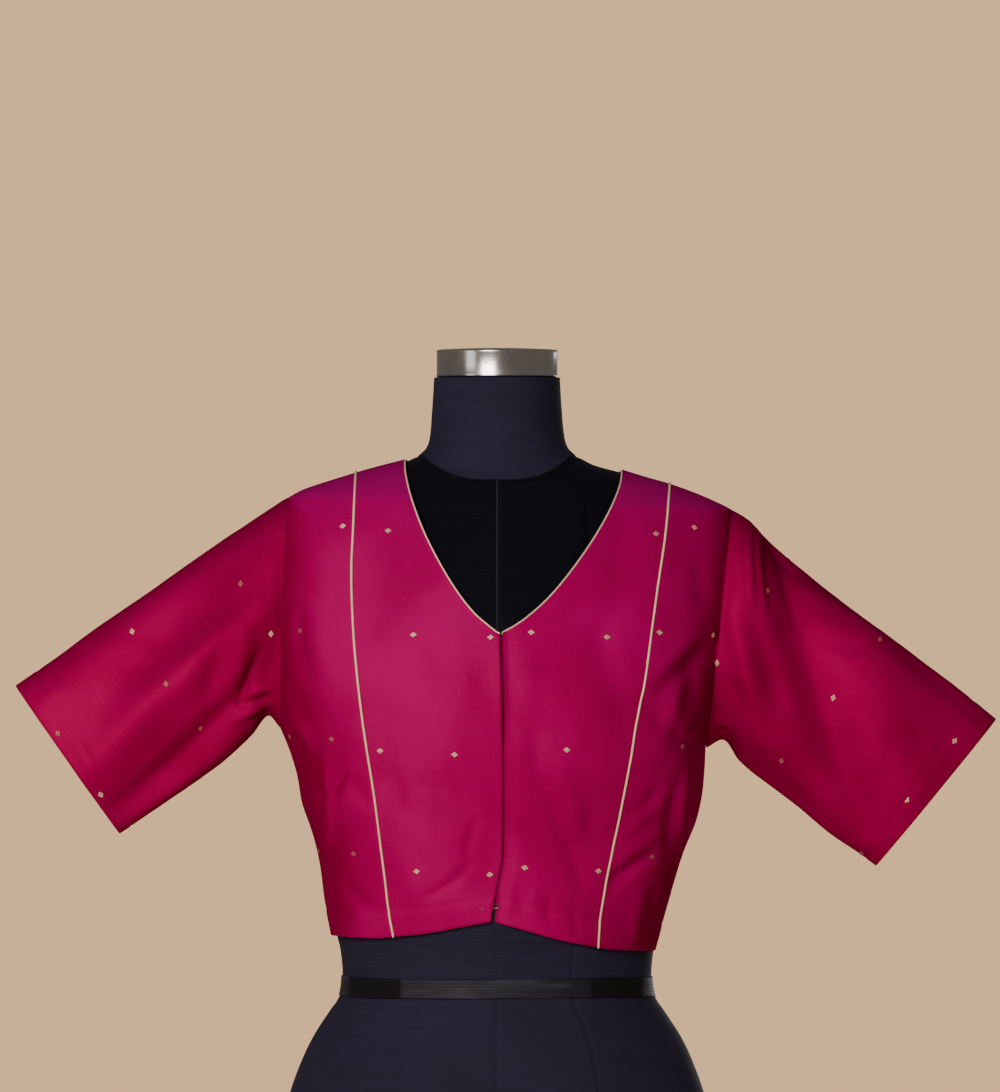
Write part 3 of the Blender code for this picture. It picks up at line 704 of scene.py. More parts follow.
SleeveRow = namedtuple("SleeveRow", "reach top_x top_z under_x under_z front back power")
SLEEVES = {
    "left": [
        SleeveRow(0.00, 181.0, 387.0, 178.8, 200.0, 40.0, 44.0, 2.0),
        SleeveRow(0.07, 197.0, 376.0, 189.5, 209.5, 43.0, 46.0, 2.0),
        SleeveRow(0.17, 217.0, 361.5, 202.0, 193.0, 43.5, 45.0, 2.0),
        SleeveRow(0.30, 247.0, 339.0, 223.0, 171.5, 40.0, 41.0, 1.95),
        SleeveRow(0.48, 286.0, 308.5, 250.0, 150.0, 35.5, 36.0, 1.9),
        SleeveRow(0.66, 325.0, 279.0, 270.0, 135.0, 32.0, 32.0, 1.85),
        SleeveRow(0.83, 360.0, 251.0, 288.0, 121.5, 29.0, 29.0, 1.85),
        SleeveRow(1.00, 394.4, 224.0, 305.0, 109.0, 27.0, 27.0, 1.85),
    ],
    "right": [
        SleeveRow(0.00, 177.0, 394.0, 165.5, 200.0, 40.0, 44.0, 2.0),
        SleeveRow(0.07, 192.0, 384.5, 180.0, 207.5, 43.0, 46.0, 2.0),
        SleeveRow(0.17, 213.0, 366.0, 194.0, 191.0, 43.5, 45.0, 2.0),
        SleeveRow(0.30, 245.0, 342.0, 218.0, 173.0, 40.0, 41.0, 1.95),
        SleeveRow(0.48, 284.0, 314.0, 249.0, 151.5, 35.5, 36.0, 1.9),
        SleeveRow(0.66, 323.0, 288.5, 272.0, 134.0, 32.0, 32.0, 1.85),
        SleeveRow(0.83, 361.0, 262.5, 291.0, 122.5, 29.0, 29.0, 1.85),
        SleeveRow(1.00, 399.0, 234.3, 307.7, 111.6, 27.0, 27.0, 1.85),
    ],
}
UNDERARM = 200.0

# Creases of the body. Each runs along a line that may bow to its side, and dies out
# towards both ends; troughs have a rise below 0.
Crease = namedtuple("Crease", "x1 z1 x2 z2 bow width rise")


def creases(*rows):
    return [Crease(*row) for row in rows]


BODY_CREASES = {
    "front": creases(
        (-172, 223, -151, 183, 2, 5, 2.1), (-143, 182, -137, 98, -3, 4.5, 2.4),
        (-160, 196, -150, 120, 3, 6, -2.2), (-146, 146, -122, 170, 3, 5, -2.6),
        (-118, 166, -104, 140, 2, 7, -1.9), (-123, 82, -90, 55, 3, 6, -1.6),
        (-166, 300, -156, 236, 5, 9, -2.2), (-101, 209, -82, 176, 1, 8, -1.9),
        (-92, 186, -70, 130, 2, 9, -2.4), (-60, 282, -46, 228, -2, 9, -1.8),
        (-38, 186, -15, 136, 4, 6, -1.8), (-14, 140, -22, 96, 4, 5, -1.9),
        (-16, 104, -58, 69, -4, 5, -2.1), (-62, 160, -48, 88, 3, 10, 2.1),
        (-98, 396, -97, 300, 4, 12, -1.9), (-176, 386, -140, 380, 1, 3.5, -1.1),
        (-38, 300, -30, 210, 2, 11, 1.6), (27, 214, 35, 160, 2, 10, -2.7),
        (33, 172, 72, 74, -5, 9, -3.5), (48, 192, 60, 118, -3, 11, 2.7),
        (78, 160, 76, 96, 2, 9, -1.6), (17, 86, 26, 58, 1, 4, -1.4), (44, 82, 48, 47, 1, 4, -1.4),
        (62, 72, 68, 42, -1, 4, -1.3), (32, 84, 37, 52, 1, 4.5, 1.1),
        (92, 392, 74, 276, -6, 15, -2.4), (70, 300, 118, 196, 6, 14, -2.6),
        (18, 276, 22, 214, 1, 9, 1.4), (129, 170, 112, 144, -2, 6, -2.7),
        (132, 116, 90, 82, 4, 6, -3.7), (134, 132, 96, 100, 4, 8, 2.4),
        (152, 188, 150, 116, 2, 4, 2.4), (160, 194, 158, 112, -2, 4, -2.7),
        (143, 176, 138, 104, 2, 5, -1.9), (119, 88, 114, 40, 1, 6, 1.8),
        (132, 92, 128, 44, 1, 5, -1.6), (166, 300, 150, 222, 6, 10, -3.5),
        (148, 260, 132, 205, 2, 7, 2.4), (166, 228, 148, 212, -2, 4, -2.2),
        (152, 360, 158, 310, 1, 9, -1.6), (176, 300, 116, 252, 3, 8, 1.8),
        (170, 284, 120, 236, 4, 9, -2.6), (108, 242, 160, 198, 3, 9, -2.6),
        (98, 120, 134, 162, -2, 7, 2.4),
    ),
    "back": creases(
        (-160, 205, -118, 150, 5, 7, -3.0), (-150, 182, -104, 118, 5, 8, 2.1),
        (-152, 240, -98, 214, -6, 9, -2.7), (-120, 96, -82, 122, 5, 7, -2.4),
        (-64, 214, -70, 120, 3, 9, 1.8), (-36, 160, -22, 84, 4, 10, -2.2),
        (14, 196, 6, 96, -4, 12, 1.9), (44, 128, 54, 62, 2, 8, -2.1),
        (88, 120, 126, 92, -4, 7, -2.6), (156, 202, 110, 156, -5, 7, -3.0),
        (150, 172, 112, 122, -4, 8, 2.2), (156, 246, 100, 222, 6, 9, -2.9),
        (-138, 330, -128, 262, 4, 12, -2.4), (140, 340, 128, 268, -4, 12, -2.4),
        (-44, 366, 40, 362, -8, 11, -1.4), (-70, 300, 66, 296, -10, 16, 1.4),
        (-96, 74, -92, 40, 1, 5, -1.4), (66, 82, 70, 40, 1, 5, -1.4),
        (106, 78, 110, 38, -1, 5, 1.3),
    ),
}
BACK_DARTS = (-74.0, 74.0)
BACK_DART_TOP = 176.0


def side_of(x):
    return "left" if x < 0 else "right"


def crease_rise(creases, x, z):
    rise = 0.0
    for crease in creases:
        along_x, along_z = crease.x2 - crease.x1, crease.z2 - crease.z1
        length = math.hypot(along_x, along_z)
        share = ((x - crease.x1) * along_x + (z - crease.z1) * along_z) / length**2
        if 0 < share < 1:
            gap = ((x - crease.x1) * along_z - (z - crease.z1) * along_x) / length
            gap -= crease.bow * 4 * share * (1 - share)
            if abs(gap) < 2.6 * crease.width:
                taper = math.sin(math.pi * share) ** 0.75
                rise += crease.rise * bell(gap, crease.width * (0.7 + 0.3 * taper)) * taper
    return rise


def crumple(x, y, z):
    """Slight unevenness of silk that was worn and pressed again."""
    place = Vector((x, y, z))
    return (
        0.55 * noise.noise(place * 0.022)
        + 0.22 * noise.noise(place * 0.06 + Vector((3, 0, 0)))
        + 0.07 * noise.noise(place * 0.17 + Vector((0, 0, 5)))
    )


def armhole_x(height, side):
    hole = SLEEVES[side][0]
    share = (height - hole.under_z) / (hole.top_z - hole.under_z)
    return blend(hole.under_x, hole.top_x, min(max(share, 0.0), 1.0))


def armhole_depth(height, side, face):
    hole = SLEEVES[side][0]
    middle, half = (hole.top_z + hole.under_z) / 2, (hole.top_z - hole.under_z) / 2
    return getattr(hole, face) * math.sqrt(max(1 - ((height - middle) / half) ** 2, 0.0))


def ring_half_width(height, side, face):
    """Half width of the section that the cloth would have here if it went on round the body."""
    hole = SLEEVES[side][0]
    if height <= hole.under_z:
        return SIDE_SEAM[side](height)
    if height >= hole.top_z:
        return SHOULDER_LINE[side](height)
    power = BODY_DEPTH["power"](height)
    share = (armhole_depth(height, side, face) / BODY_DEPTH[face](height)) ** power
    return armhole_x(height, side) / (1 - share) ** (1 / power)


@lru_cache(maxsize=None)
def ridge_height(reach, side):
    """Height of the shoulder line at this distance from the centre."""
    low, high = SLEEVES[side][0].top_z, SHOULDER_END
    for _ in range(26):
        middle = (low + high) / 2
        if SHOULDER_LINE[side](middle) > reach:
            low = middle
        else:
            high = middle
    return (low + high) / 2


def column_width(height, side):
    """Distance from the centre to the side seam, or to the armhole above it."""
    if height <= UNDERARM:
        return SIDE_SEAM[side](height)
    return armhole_x(height, side)


def body_point(turn, height, face, drop=0.0):
    """Point of the body cloth: turn is -90 at the viewer's left side and 0 at the centre."""
    side = side_of(turn)
    x = column_width(height, side) * math.sin(math.radians(turn))
    power = BODY_DEPTH["power"](height)
    bulge = max(1 - (abs(x) / ring_half_width(height, side, face)) ** power, 0.0) ** (1 / power)
    y = max(BODY_DEPTH[face](height) * bulge - drop, 0.2)
    return Vector((x, -y if face == "front" else y, height))


def turn_of(x, height):
    share = x / column_width(height, side_of(x))
    return math.degrees(math.asin(min(max(share, -1.0), 1.0)))


def upper_share(row):
    """Share of the way from underarm to shoulder, a little closer together at both ends."""
    share = (row - LOWER_ROWS) / UPPER_ROWS
    return blend(share, (1 - math.cos(math.pi * share)) / 2, 0.5)


def hem_step(row, line_rows=8):
    """The turned-up hem shows as a faint step in the cloth over the edge of the layer inside."""
    return 0.32 * ease((line_rows + 0.8 - row) / 1.6) - 0.25 * bell(row - line_rows - 1.2, 0.8)


def shot_silk(name, pink, crimson, above, gloss):
    """Shot silk: crimson warp under a pink weft, thread by thread, with fine slubs, and painted light.
    """
    finish = Finish(name)
    cut = finish.add("ShaderNodeUVMap", {"uv_map": "cut"})
    place = object_place(finish)
    across, up = part_of(finish, cut, 0), part_of(finish, cut, 1)
    warp = (across * SILK_WEAVE).sine() * 0.5 + 0.5
    weft = (up * SILK_WEAVE).sine() * 0.5 + 0.5
    slub = finish.cloud(cut, 0.0012, 2.0, (0.035, 1.0, 1.0))
    thread = finish.cloud(cut, 0.0009, 2.0, (1.0, 0.03, 1.0))
    cast = finish.cloud(place, 0.10, 2.0)
    # Painted light by the way the surface faces: shade towards crimson where it turns to the side, and
    # the painted top colour where it faces up.
    facing = finish.add("ShaderNodeNewGeometry", output=1)
    painted_top_mask = part_of(finish, facing, 2)
    painted_side_shade_mask = abs(part_of(finish, facing, 0))
    # deep mixes random tone and slubs with painted shade on faces turned to the side.
    deep = cast.between(0.35, 0.65) * 0.45 + slub * 0.2 + painted_side_shade_mask.between(0.55, 0.95) * 0.7
    tone = finish.dye(deep, pink, crimson)
    tone = finish.dye(thread.between(0.5, 0.72) * 0.12, tone, (0.56, 0.0, 0.15))
    # above is a painted top colour: a purple sheen on the body, shade on the sleeves.
    colour = finish.dye(painted_top_mask.between(0.2, 0.9) * 0.6, tone, above)
    bump = finish.relief(warp * 0.25 + weft * 0.25 + slub * 0.6 + thread * 0.3, 0.00006, 0.5)
    return finish.set({
        "Base Color": colour,
        "Roughness": 0.64 + slub * 0.08,
        "Metallic": gloss,
        "Normal": bump,
        "Specular IOR Level": 0.0,
        "Specular Tint": (1.0, 0.02, 0.4),
        "Sheen Weight": 0.03,
        "Sheen Roughness": 0.35,
        "Sheen Tint": (0.6, 0.02, 0.5),
    })


# The body's silk: its top colour is a painted purple sheen.
silk = shot_silk("shot_silk", (0.45, 0.0, 0.115), (0.27, 0.0, 0.042), (0.36, 0.0, 0.16), 0.14)


def back_turn(column):
    """Turn at each column of the back, closer together beside the neck; it runs right to left."""
    steps = BACK_COLUMNS // 4
    edge = turn_of(BACK_NECK_HALF, ABOVE_SHOULDER)
    if column <= steps:
        return blend(90.0, edge, column / steps)
    if column >= 3 * steps:
        edge = turn_of(-BACK_NECK_HALF, ABOVE_SHOULDER)
        return blend(edge, -90.0, (column - 3 * steps) / steps)
    angle = math.pi * (column - steps) / (2 * steps)
    reach = BACK_NECK_HALF * (0.5 * math.cos(angle) + 0.5 * (1 - 2 * angle / math.pi))
    return turn_of(reach, ABOVE_SHOULDER)


def back_top(x):
    reach, side = abs(x), side_of(x)
    if reach >= BACK_NECK_HALF:
        return ridge_height(reach, side)
    share = reach / BACK_NECK_HALF
    return ridge_height(BACK_NECK_HALF, side) - BACK_NECK_DROP * (1 - share**2)


def back_place(column, row):
    turn = back_turn(column)
    side = side_of(turn)
    top_x = column_width(ABOVE_SHOULDER, side) * math.sin(math.radians(turn))
    top = SLEEVES[side][0].top_z if abs(turn) > 89.9 else back_top(top_x)
    if row < LOWER_ROWS:
        hem = HEM_LINE["back"](abs(HEM_END * math.sin(math.radians(turn))))
        return body_point(turn, blend(hem, UNDERARM, row / LOWER_ROWS), "back")
    return body_point(turn, blend(UNDERARM, top, upper_share(row)), "back")


def edge_fade(column, row, columns, rows=BODY_ROWS):
    """Relief dies out at the seams, where the pieces have to meet."""
    gap = min(column, columns - column, rows - row)
    return ease(gap / 4)


def back_relief(x, y, z, column, row):
    rise = crease_rise(BODY_CREASES["back"], x, z) + crumple(x, y, z)
    rise *= edge_fade(column, row, BACK_COLUMNS)
    for dart in BACK_DARTS:
        run = 1 - ease((z - BACK_DART_TOP + 40) / 40)
        rise += (0.4 * bell(abs(x - dart) - 3.0, 2.2) - 0.75 * bell(x - dart, 1.3)) * run
    return rise + hem_step(row)


BACK_COLUMNS = 168
back = Cloth(BACK_COLUMNS, BODY_ROWS, back_place)
back.press(back_relief)
back.measure(BACK_COLUMNS // 2)
back_neck = [vert.co.copy() for vert in back.rows[-1]]
back_neck_inner = [vert.co.copy() for vert in back.rows[-2]]
back.turn_in(back.column(0), back.column(1), SEAM_STEPS)
back.turn_in(back.column(-1), back.column(-2), SEAM_STEPS)
back.turn_in(back.rows[-1], back.rows[-2], SEAM_STEPS[:3])
back.turn_hem(back.rows[0], back.rows[1:], HEM_STEPS)
back_rows = [[(vert.co.copy(), back.cut[vert]) for vert in line] for line in back.rows]
back_piece = back.sew("silk_back", silk, SILK, HANG, outward=lambda point: Vector((0, 1, 0)))
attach(back_piece, "root")
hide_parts("back")


# Side fronts: two panels from the side seams to the princess seams, eased over the bust. Their
# long curved edges are turned in under the piping, and drag lines run in from the side seams.
SIDE_COLUMNS = 34
PRINCESS_TOP = 412.0
PRINCESS_SETBACK = 1.35
PRINCESS_STEPS = ((0.45, 0.15), (1.0, 0.7), (1.15, 1.5), (1.0, 2.2))
PRINCESS_LINE = smooth_columns([
    Width(30, 77.0, 85.5),
    Width(60, 84.0, 86.0),
    Width(90, 89.0, 89.6),
    Width(150, 99.7, 98.6),
    Width(197, 109.3, 105.4),
    Width(245, 117.6, 112.0),
    Width(288, 123.4, 116.0),
    Width(332, 126.6, 120.2),
    Width(370, 127.0, 124.0),
    Width(412, 127.6, 126.3),
])


def up_height(row, hem, top):
    if row < LOWER_ROWS:
        return blend(hem, UNDERARM, row / LOWER_ROWS)
    return blend(UNDERARM, top, upper_share(row))


def princess_edge(sign, setback):
    """Points (x, height) of an edge beside a princess seam, set back from the seam."""
    side = side_of(sign)
    reach = PRINCESS_LINE[side](PRINCESS_TOP) + setback
    top = ridge_height(reach, side)
    hem = HEM_LINE["front"](PRINCESS_LINE[side](37.0))
    heights = [up_height(row, hem, top) for row in range(BODY_ROWS + 1)]
    return [(sign * (PRINCESS_LINE[side](height) + setback), height) for height in heights]


def outer_edge(sign):
    """Points of the side seam and the armhole, up to the shoulder's end."""
    side = side_of(sign)
    top = SLEEVES[side][0].top_z
    heights = [up_height(row, HEM_LINE["front"](HEM_END), top) for row in range(BODY_ROWS + 1)]
    return [(sign * column_width(height, side), height) for height in heights]


def panel_place(first, last, columns, drop=None):
    """Place of a front panel's points between two edges, the viewer's left one first."""
    def shoulder_lift(share):
        (x1, top1), (x2, top2) = first[-1], last[-1]
        side = side_of(x1 + x2)
        turn = math.radians(blend(turn_of(x1, top1), turn_of(x2, top2), share))
        reach = abs(column_width(ABOVE_SHOULDER, side) * math.sin(turn))
        return ridge_height(reach, side) - blend(top1, top2, share)

    def place(column, row):
        share = column / columns
        turn = blend(turn_of(*first[row]), turn_of(*last[row]), share)
        height = blend(first[row][1], last[row][1], share)
        if row > LOWER_ROWS:
            height += shoulder_lift(share) * upper_share(row)
        x = column_width(height, side_of(turn)) * math.sin(math.radians(turn))
        if row < LOWER_ROWS:
            line = blend(first[0][1], last[0][1], share)
            height += (HEM_LINE["front"](abs(x)) - line) * (1 - row / LOWER_ROWS)
        return body_point(turn, height, "front", drop(x, height) if drop else 0.0)

    return place


def seam_pucker(gap, z, phase):
    """Small uneven puckers beside a seam, where the piping draws the cloth in."""
    wave = math.sin(z * 0.62 + phase) * (0.6 + 0.4 * math.sin(z * 0.17 + 2 * phase))
    return 0.22 * wave * ease(gap / 1.5) * bell(gap, 3.4)


side_fronts = {}
for sign, name in ((-1, "front_side_right"), (1, "front_side_left")):
    seam_edge = princess_edge(sign, PRINCESS_SETBACK)
    edges = (outer_edge(sign), seam_edge) if sign < 0 else (seam_edge, outer_edge(sign))
    panel = Cloth(SIDE_COLUMNS, BODY_ROWS, panel_place(*edges, SIDE_COLUMNS))
    seam_column = SIDE_COLUMNS if sign < 0 else 0
    side_column = SIDE_COLUMNS - seam_column

    def side_relief(x, y, z, column, row):
        fade = ease(min(abs(column - side_column), BODY_ROWS - row) / 4)
        rise = crease_rise(BODY_CREASES["front"], x, z) + crumple(x, y, z)
        gap = abs(column - seam_column)
        return rise * fade + seam_pucker(gap, z, sign) + hem_step(row)

    panel.press(side_relief)
    panel.measure(seam_column)
    side_fronts[sign] = [vert.co.copy() for vert in panel.column(seam_column)]
    inner = 1 if seam_column == 0 else SIDE_COLUMNS - 1
    outer_inner = SIDE_COLUMNS - 1 if side_column else 1
    rows = [[(vert.co.copy(), panel.cut[vert]) for vert in line] for line in panel.rows]
    panel.turn_in(panel.column(seam_column), panel.column(inner), PRINCESS_STEPS)
    panel.turn_in(panel.column(side_column), panel.column(outer_inner), SEAM_STEPS)
    panel.turn_in(panel.rows[-1], panel.rows[-2], SEAM_STEPS[:3])
    panel.turn_hem(panel.rows[0], panel.rows[1:], HEM_STEPS)
    side_fronts[name] = rows
    piece = panel.sew("silk_" + name, silk, SILK, HANG, outward=lambda point: Vector((0, -1, 0)))
    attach(piece, "root")
    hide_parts(name)


# Centre fronts: the wearer's right front lies over the left one and hides the hook placket. The
# right one's opening edge is folded back on itself, and the left one goes on under it.
CENTRE_COLUMNS = 50
CORNER_SHARE = 0.4
CORNER_ROW = LOWER_ROWS + round(UPPER_ROWS * CORNER_SHARE)
NECK_TOP = 422.0
UNDERLAP_WIDTH = 12.0
UNDERLAP_STEP = 3.0
UNDERLAP_DROP = 2.4
OPENING_STEPS = ((0.3, 0.3), (0.25, 0.8), (-2.5, 0.95), (-8.0, 1.0))
NECK_STEPS = ((0.35, 0.2), (0.6, 0.7), (0.4, 1.3), (-2.5, 1.4))
Edge = namedtuple("Edge", "height x")
OPENING_EDGE = smooth_columns([
    Edge(40, -2.8),
    Edge(66, -0.9),
    Edge(89, 2.4),
    Edge(105, 4.4),
    Edge(131, 3.8),
    Edge(189, 1.1),
    Edge(240, -2.6),
    Edge(290, -6.2),
])["x"]
NECK_CORNER = 284.3
V_NECK = smooth_columns([
    Width(284.3, 6.2, -5.5),
    Width(290.5, 15.0, 5.5),
    Width(300, 27.0, 17.8),
    Width(316, 41.0, 33.8),
    Width(337, 55.5, 49.8),
    Width(363, 70.4, 66.4),
    Width(389, 81.7, 79.7),
    Width(410, 88.0, 87.0),
    Width(423, 89.4, 88.2),
])


def front_edge(sign):
    """Points of the opening edge and, above its corner, the side of the V neck."""
    side = side_of(sign)
    step = 0.0 if sign < 0 else UNDERLAP_STEP
    top = ridge_height(V_NECK[side](NECK_TOP), side)
    points = []
    for row in range(CORNER_ROW + 1):
        height = blend(HEM_LINE["front"](0), UNDERARM, row / LOWER_ROWS)
        if row > LOWER_ROWS:
            share = (row - LOWER_ROWS) / (CORNER_ROW - LOWER_ROWS)
            height = blend(UNDERARM, NECK_CORNER, share)
        points.append((OPENING_EDGE(height) + step, height))
    count = BODY_ROWS - CORNER_ROW
    for row in range(1, count + 1):
        share = blend(row / count, (1 - math.cos(math.pi * row / count)) / 2, 0.4)
        height = blend(NECK_CORNER, top, share)
        points.append((sign * V_NECK[side](height), height))
    return points


def underlap_drop(x, height):
    """Depth of the under front: a slope towards the lap, and a valley right beside the edge."""
    edge = OPENING_EDGE(height)
    slope = UNDERLAP_DROP * ease((edge + UNDERLAP_STEP + UNDERLAP_WIDTH - x) / UNDERLAP_WIDTH)
    deepest = 0.7 + 3.7 * ease((height - 180) / 50) + 2.6 * ease((80 - height) / 12)
    valley = deepest * bell(x - edge - 2.0, 2.8)
    return (slope + valley) * ease((NECK_CORNER + 10 - height) / 10)


centre_fronts = {}
for sign, name in ((-1, "front_centre_right"), (1, "front_centre_left")):
    seam_edge = princess_edge(sign, -PRINCESS_SETBACK)
    edges = (seam_edge, front_edge(sign)) if sign < 0 else (front_edge(sign), seam_edge)
    drop = underlap_drop if sign > 0 else None
    panel = Cloth(CENTRE_COLUMNS, BODY_ROWS, panel_place(*edges, CENTRE_COLUMNS, drop))
    open_column = CENTRE_COLUMNS if sign < 0 else 0
    seam_column = CENTRE_COLUMNS - open_column

    def centre_relief(x, y, z, column, row):
        open_gap, seam_gap = abs(column - open_column), abs(column - seam_column)
        rise = crease_rise(BODY_CREASES["front"], x, z) + crumple(x, y, z)
        rise *= ease((BODY_ROWS - row) / 4)
        rise *= ease(open_gap / 5) if sign > 0 or row > CORNER_ROW else ease((open_gap + 2) / 5)
        if row > CORNER_ROW:
            rise -= 0.25 * bell(open_gap - 2.0, 0.9)
            rise += seam_pucker(open_gap, z * 1.3, sign) * 0.6
        elif sign < 0:
            rise += (0.5 + 0.35 * math.sin(z * 0.055 + 0.6)) * bell(open_gap, 2.5)
            rise += 1.3 * ease((z - 190) / 60) * bell(open_gap, 1.8)
        return rise + seam_pucker(seam_gap, z, sign) + hem_step(row)

    panel.press(centre_relief)
    panel.measure(open_column)
    rows = [[(vert.co.copy(), panel.cut[vert]) for vert in line] for line in panel.rows]
    centre_fronts[name] = rows
    centre_fronts[sign] = [line[seam_column][0] for line in rows]
    seam_inner = abs(seam_column - 1)
    open_inner = abs(open_column - 1)
    opening, inside = panel.column(open_column), panel.column(open_inner)
    panel.turn_in(panel.column(seam_column), panel.column(seam_inner), PRINCESS_STEPS)
    panel.turn_in(opening[CORNER_ROW:], inside[CORNER_ROW:], NECK_STEPS)
    if sign < 0:
        panel.turn_in(opening[:CORNER_ROW + 1], inside[:CORNER_ROW + 1], OPENING_STEPS)
    else:
        strips = []
        for share in (0.25, 0.5, 0.75, 1.0):
            strip = []
            for vert in opening[:CORNER_ROW + 1]:
                x = vert.co.x - UNDERLAP_STEP * share - UNDERLAP_WIDTH * share
                height = vert.co.z - 3.0 * share * (vert is opening[CORNER_ROW])
                drop = underlap_drop(x, height)
                strip.append(body_point(turn_of(x, height), height, "front", drop))
            strips.append(strip)
        panel.carry_on(opening[:CORNER_ROW + 1], strips)
    panel.turn_in(panel.rows[-1], panel.rows[-2], SEAM_STEPS[:3])
    panel.turn_hem(panel.rows[0], panel.rows[1:], HEM_STEPS)
    piece = panel.sew("silk_" + name, silk, SILK, HANG, outward=lambda point: Vector((0, -1, 0)))
    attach(piece, "root")
    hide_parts(name)


# Princess piping: a cotton cord wrapped in pale gold tissue cut on the cross, caught in each
# princess seam. Its width is not quite even.
PRINCESS_CORD = 0.92
CORD_RISE = 0.55
CORD_SIDES = 14
TISSUE_WEAVE = 7000.0


def gold_tissue():
    """Pale gold metal tissue, its weave lying slantwise round the cord."""
    finish = Finish("gold_tissue")
    cut = finish.add("ShaderNodeUVMap", {"uv_map": "cut"})
    across, along = part_of(finish, cut, 0), part_of(finish, cut, 1)
    slant = ((across + along) * TISSUE_WEAVE).sine() * 0.5 + 0.5
    cross = ((across - along) * TISSUE_WEAVE).sine() * 0.5 + 0.5
    wear = finish.cloud(cut, 0.006, 3.0)
    tone = finish.dye(wear.between(0.35, 0.7) * 0.5, (1.0, 0.64, 0.44), (0.82, 0.42, 0.28))
    colour = finish.dye(slant * cross * 0.35, tone, (1.0, 0.80, 0.62))
    bump = finish.relief(slant * 0.5 + cross * 0.5, 0.00012, 0.8)
    return finish.set({
        "Base Color": colour,
        "Metallic": 0.1,
        "Roughness": 0.42 + wear * 0.15,
        "Normal": bump,
        "Sheen Weight": 0.15,
        "Sheen Tint": (1.0, 0.8, 0.6),
    })


gold = gold_tissue()


def cord_piece(name, path, radius, material, sides=CORD_SIDES, lump=0.06):
    """Round cord along a path in millimetres, as a closed tube with rounded ends."""
    count = len(path) - 1
    tangents = []
    for index in range(count + 1):
        before, after = path[max(index - 1, 0)], path[min(index + 1, count)]
        tangents.append((after - before).normalized())
    across = [tangents[0].orthogonal().normalized()]
    for before, after in zip(tangents, tangents[1:]):
        side = before.rotation_difference(after) @ across[-1]
        across.append((side - after * side.dot(after)).normalized())

    def place(column, row):
        row = min(max(row - 1, 0), count)
        angle = 2 * math.pi * column / sides
        out = across[row] * math.cos(angle) + tangents[row].cross(across[row]) * math.sin(angle)
        size = radius * (1 + lump * noise.noise(path[row] * 0.21))
        return path[row] + out * size

    def ends(column, row):
        point = place(column, row)
        if row in (0, count + 2):
            index = 0 if row == 0 else count
            away = tangents[index] * (-0.45 if row == 0 else 0.45)
            return path[index] + (point - path[index]) * 0.55 + away * radius
        return point

    cord = Cloth(sides, count + 2, ends, closed=True)
    cord.measure(0, upright=False)
    return cord.sew(
        name,
        material,
        0,
        HANG,
        outward=lambda point: point - path[(count + 2) // 2 - 1],
        capped=True,
    )


def seam_path(first, second, rise):
    """Middle of a seam between two rows of points, moved out from the cloth."""
    path = []
    for index, (one, two) in enumerate(zip(first, second)):
        before, after = max(index - 1, 0), min(index + 1, len(first) - 1)
        along = (first[after] - first[before]).normalized()
        out = along.cross(two - one).normalized()
        out = out if out.y < 0 else -out
        path.append((one + two) / 2 + out * rise)
    return path


for sign, name in ((-1, "princess_piping_right"), (1, "princess_piping_left")):
    path = seam_path(centre_fronts[sign], side_fronts[sign], CORD_RISE)
    path[0].z -= 0.4
    piece = cord_piece("gold_" + name, path, PRINCESS_CORD, gold)
    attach(piece, "root")
    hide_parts(name)


# Neck piping: a finer cord in the same gold tissue, sewn round the V and the back of the neck. Its
# two ends meet at the point of the V, the right one over the left.
NECK_CORD = 0.66
NECK_STANDOFF = 0.85


def beside(edge, inner, standoff):
    """Points just off an edge, on the side away from the cloth."""
    points = []
    for index, point in enumerate(edge):
        before, after = edge[max(index - 1, 0)], edge[min(index + 1, len(edge) - 1)]
        along = (after - before).normalized()
        away = point - inner[index]
        away = (away - along * away.dot(along)).normalized()
        points.append(point + away * standoff)
    return points


neck_sides = []
for name, edge, inner in (
    ("front_centre_right", CENTRE_COLUMNS, CENTRE_COLUMNS - 1),
    ("front_centre_left", 0, 1),
):
    rows = centre_fronts[name][CORNER_ROW:]
    outermost = [line[edge][0] for line in rows]
    within = [line[inner][0] for line in rows]
    neck_sides.append(beside(outermost, within, NECK_STANDOFF))
low, high = BACK_COLUMNS // 4, 3 * BACK_COLUMNS // 4
nape = beside(back_neck[low:high + 1], back_neck_inner[low:high + 1], NECK_STANDOFF)
neck_path = neck_sides[0][:-1] + nape[::-1][1:-1] + neck_sides[1][:-1][::-1]
neck_cord = cord_piece("gold_neck_piping", neck_path, NECK_CORD, gold)
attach(neck_cord, "root")
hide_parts("neck_piping")


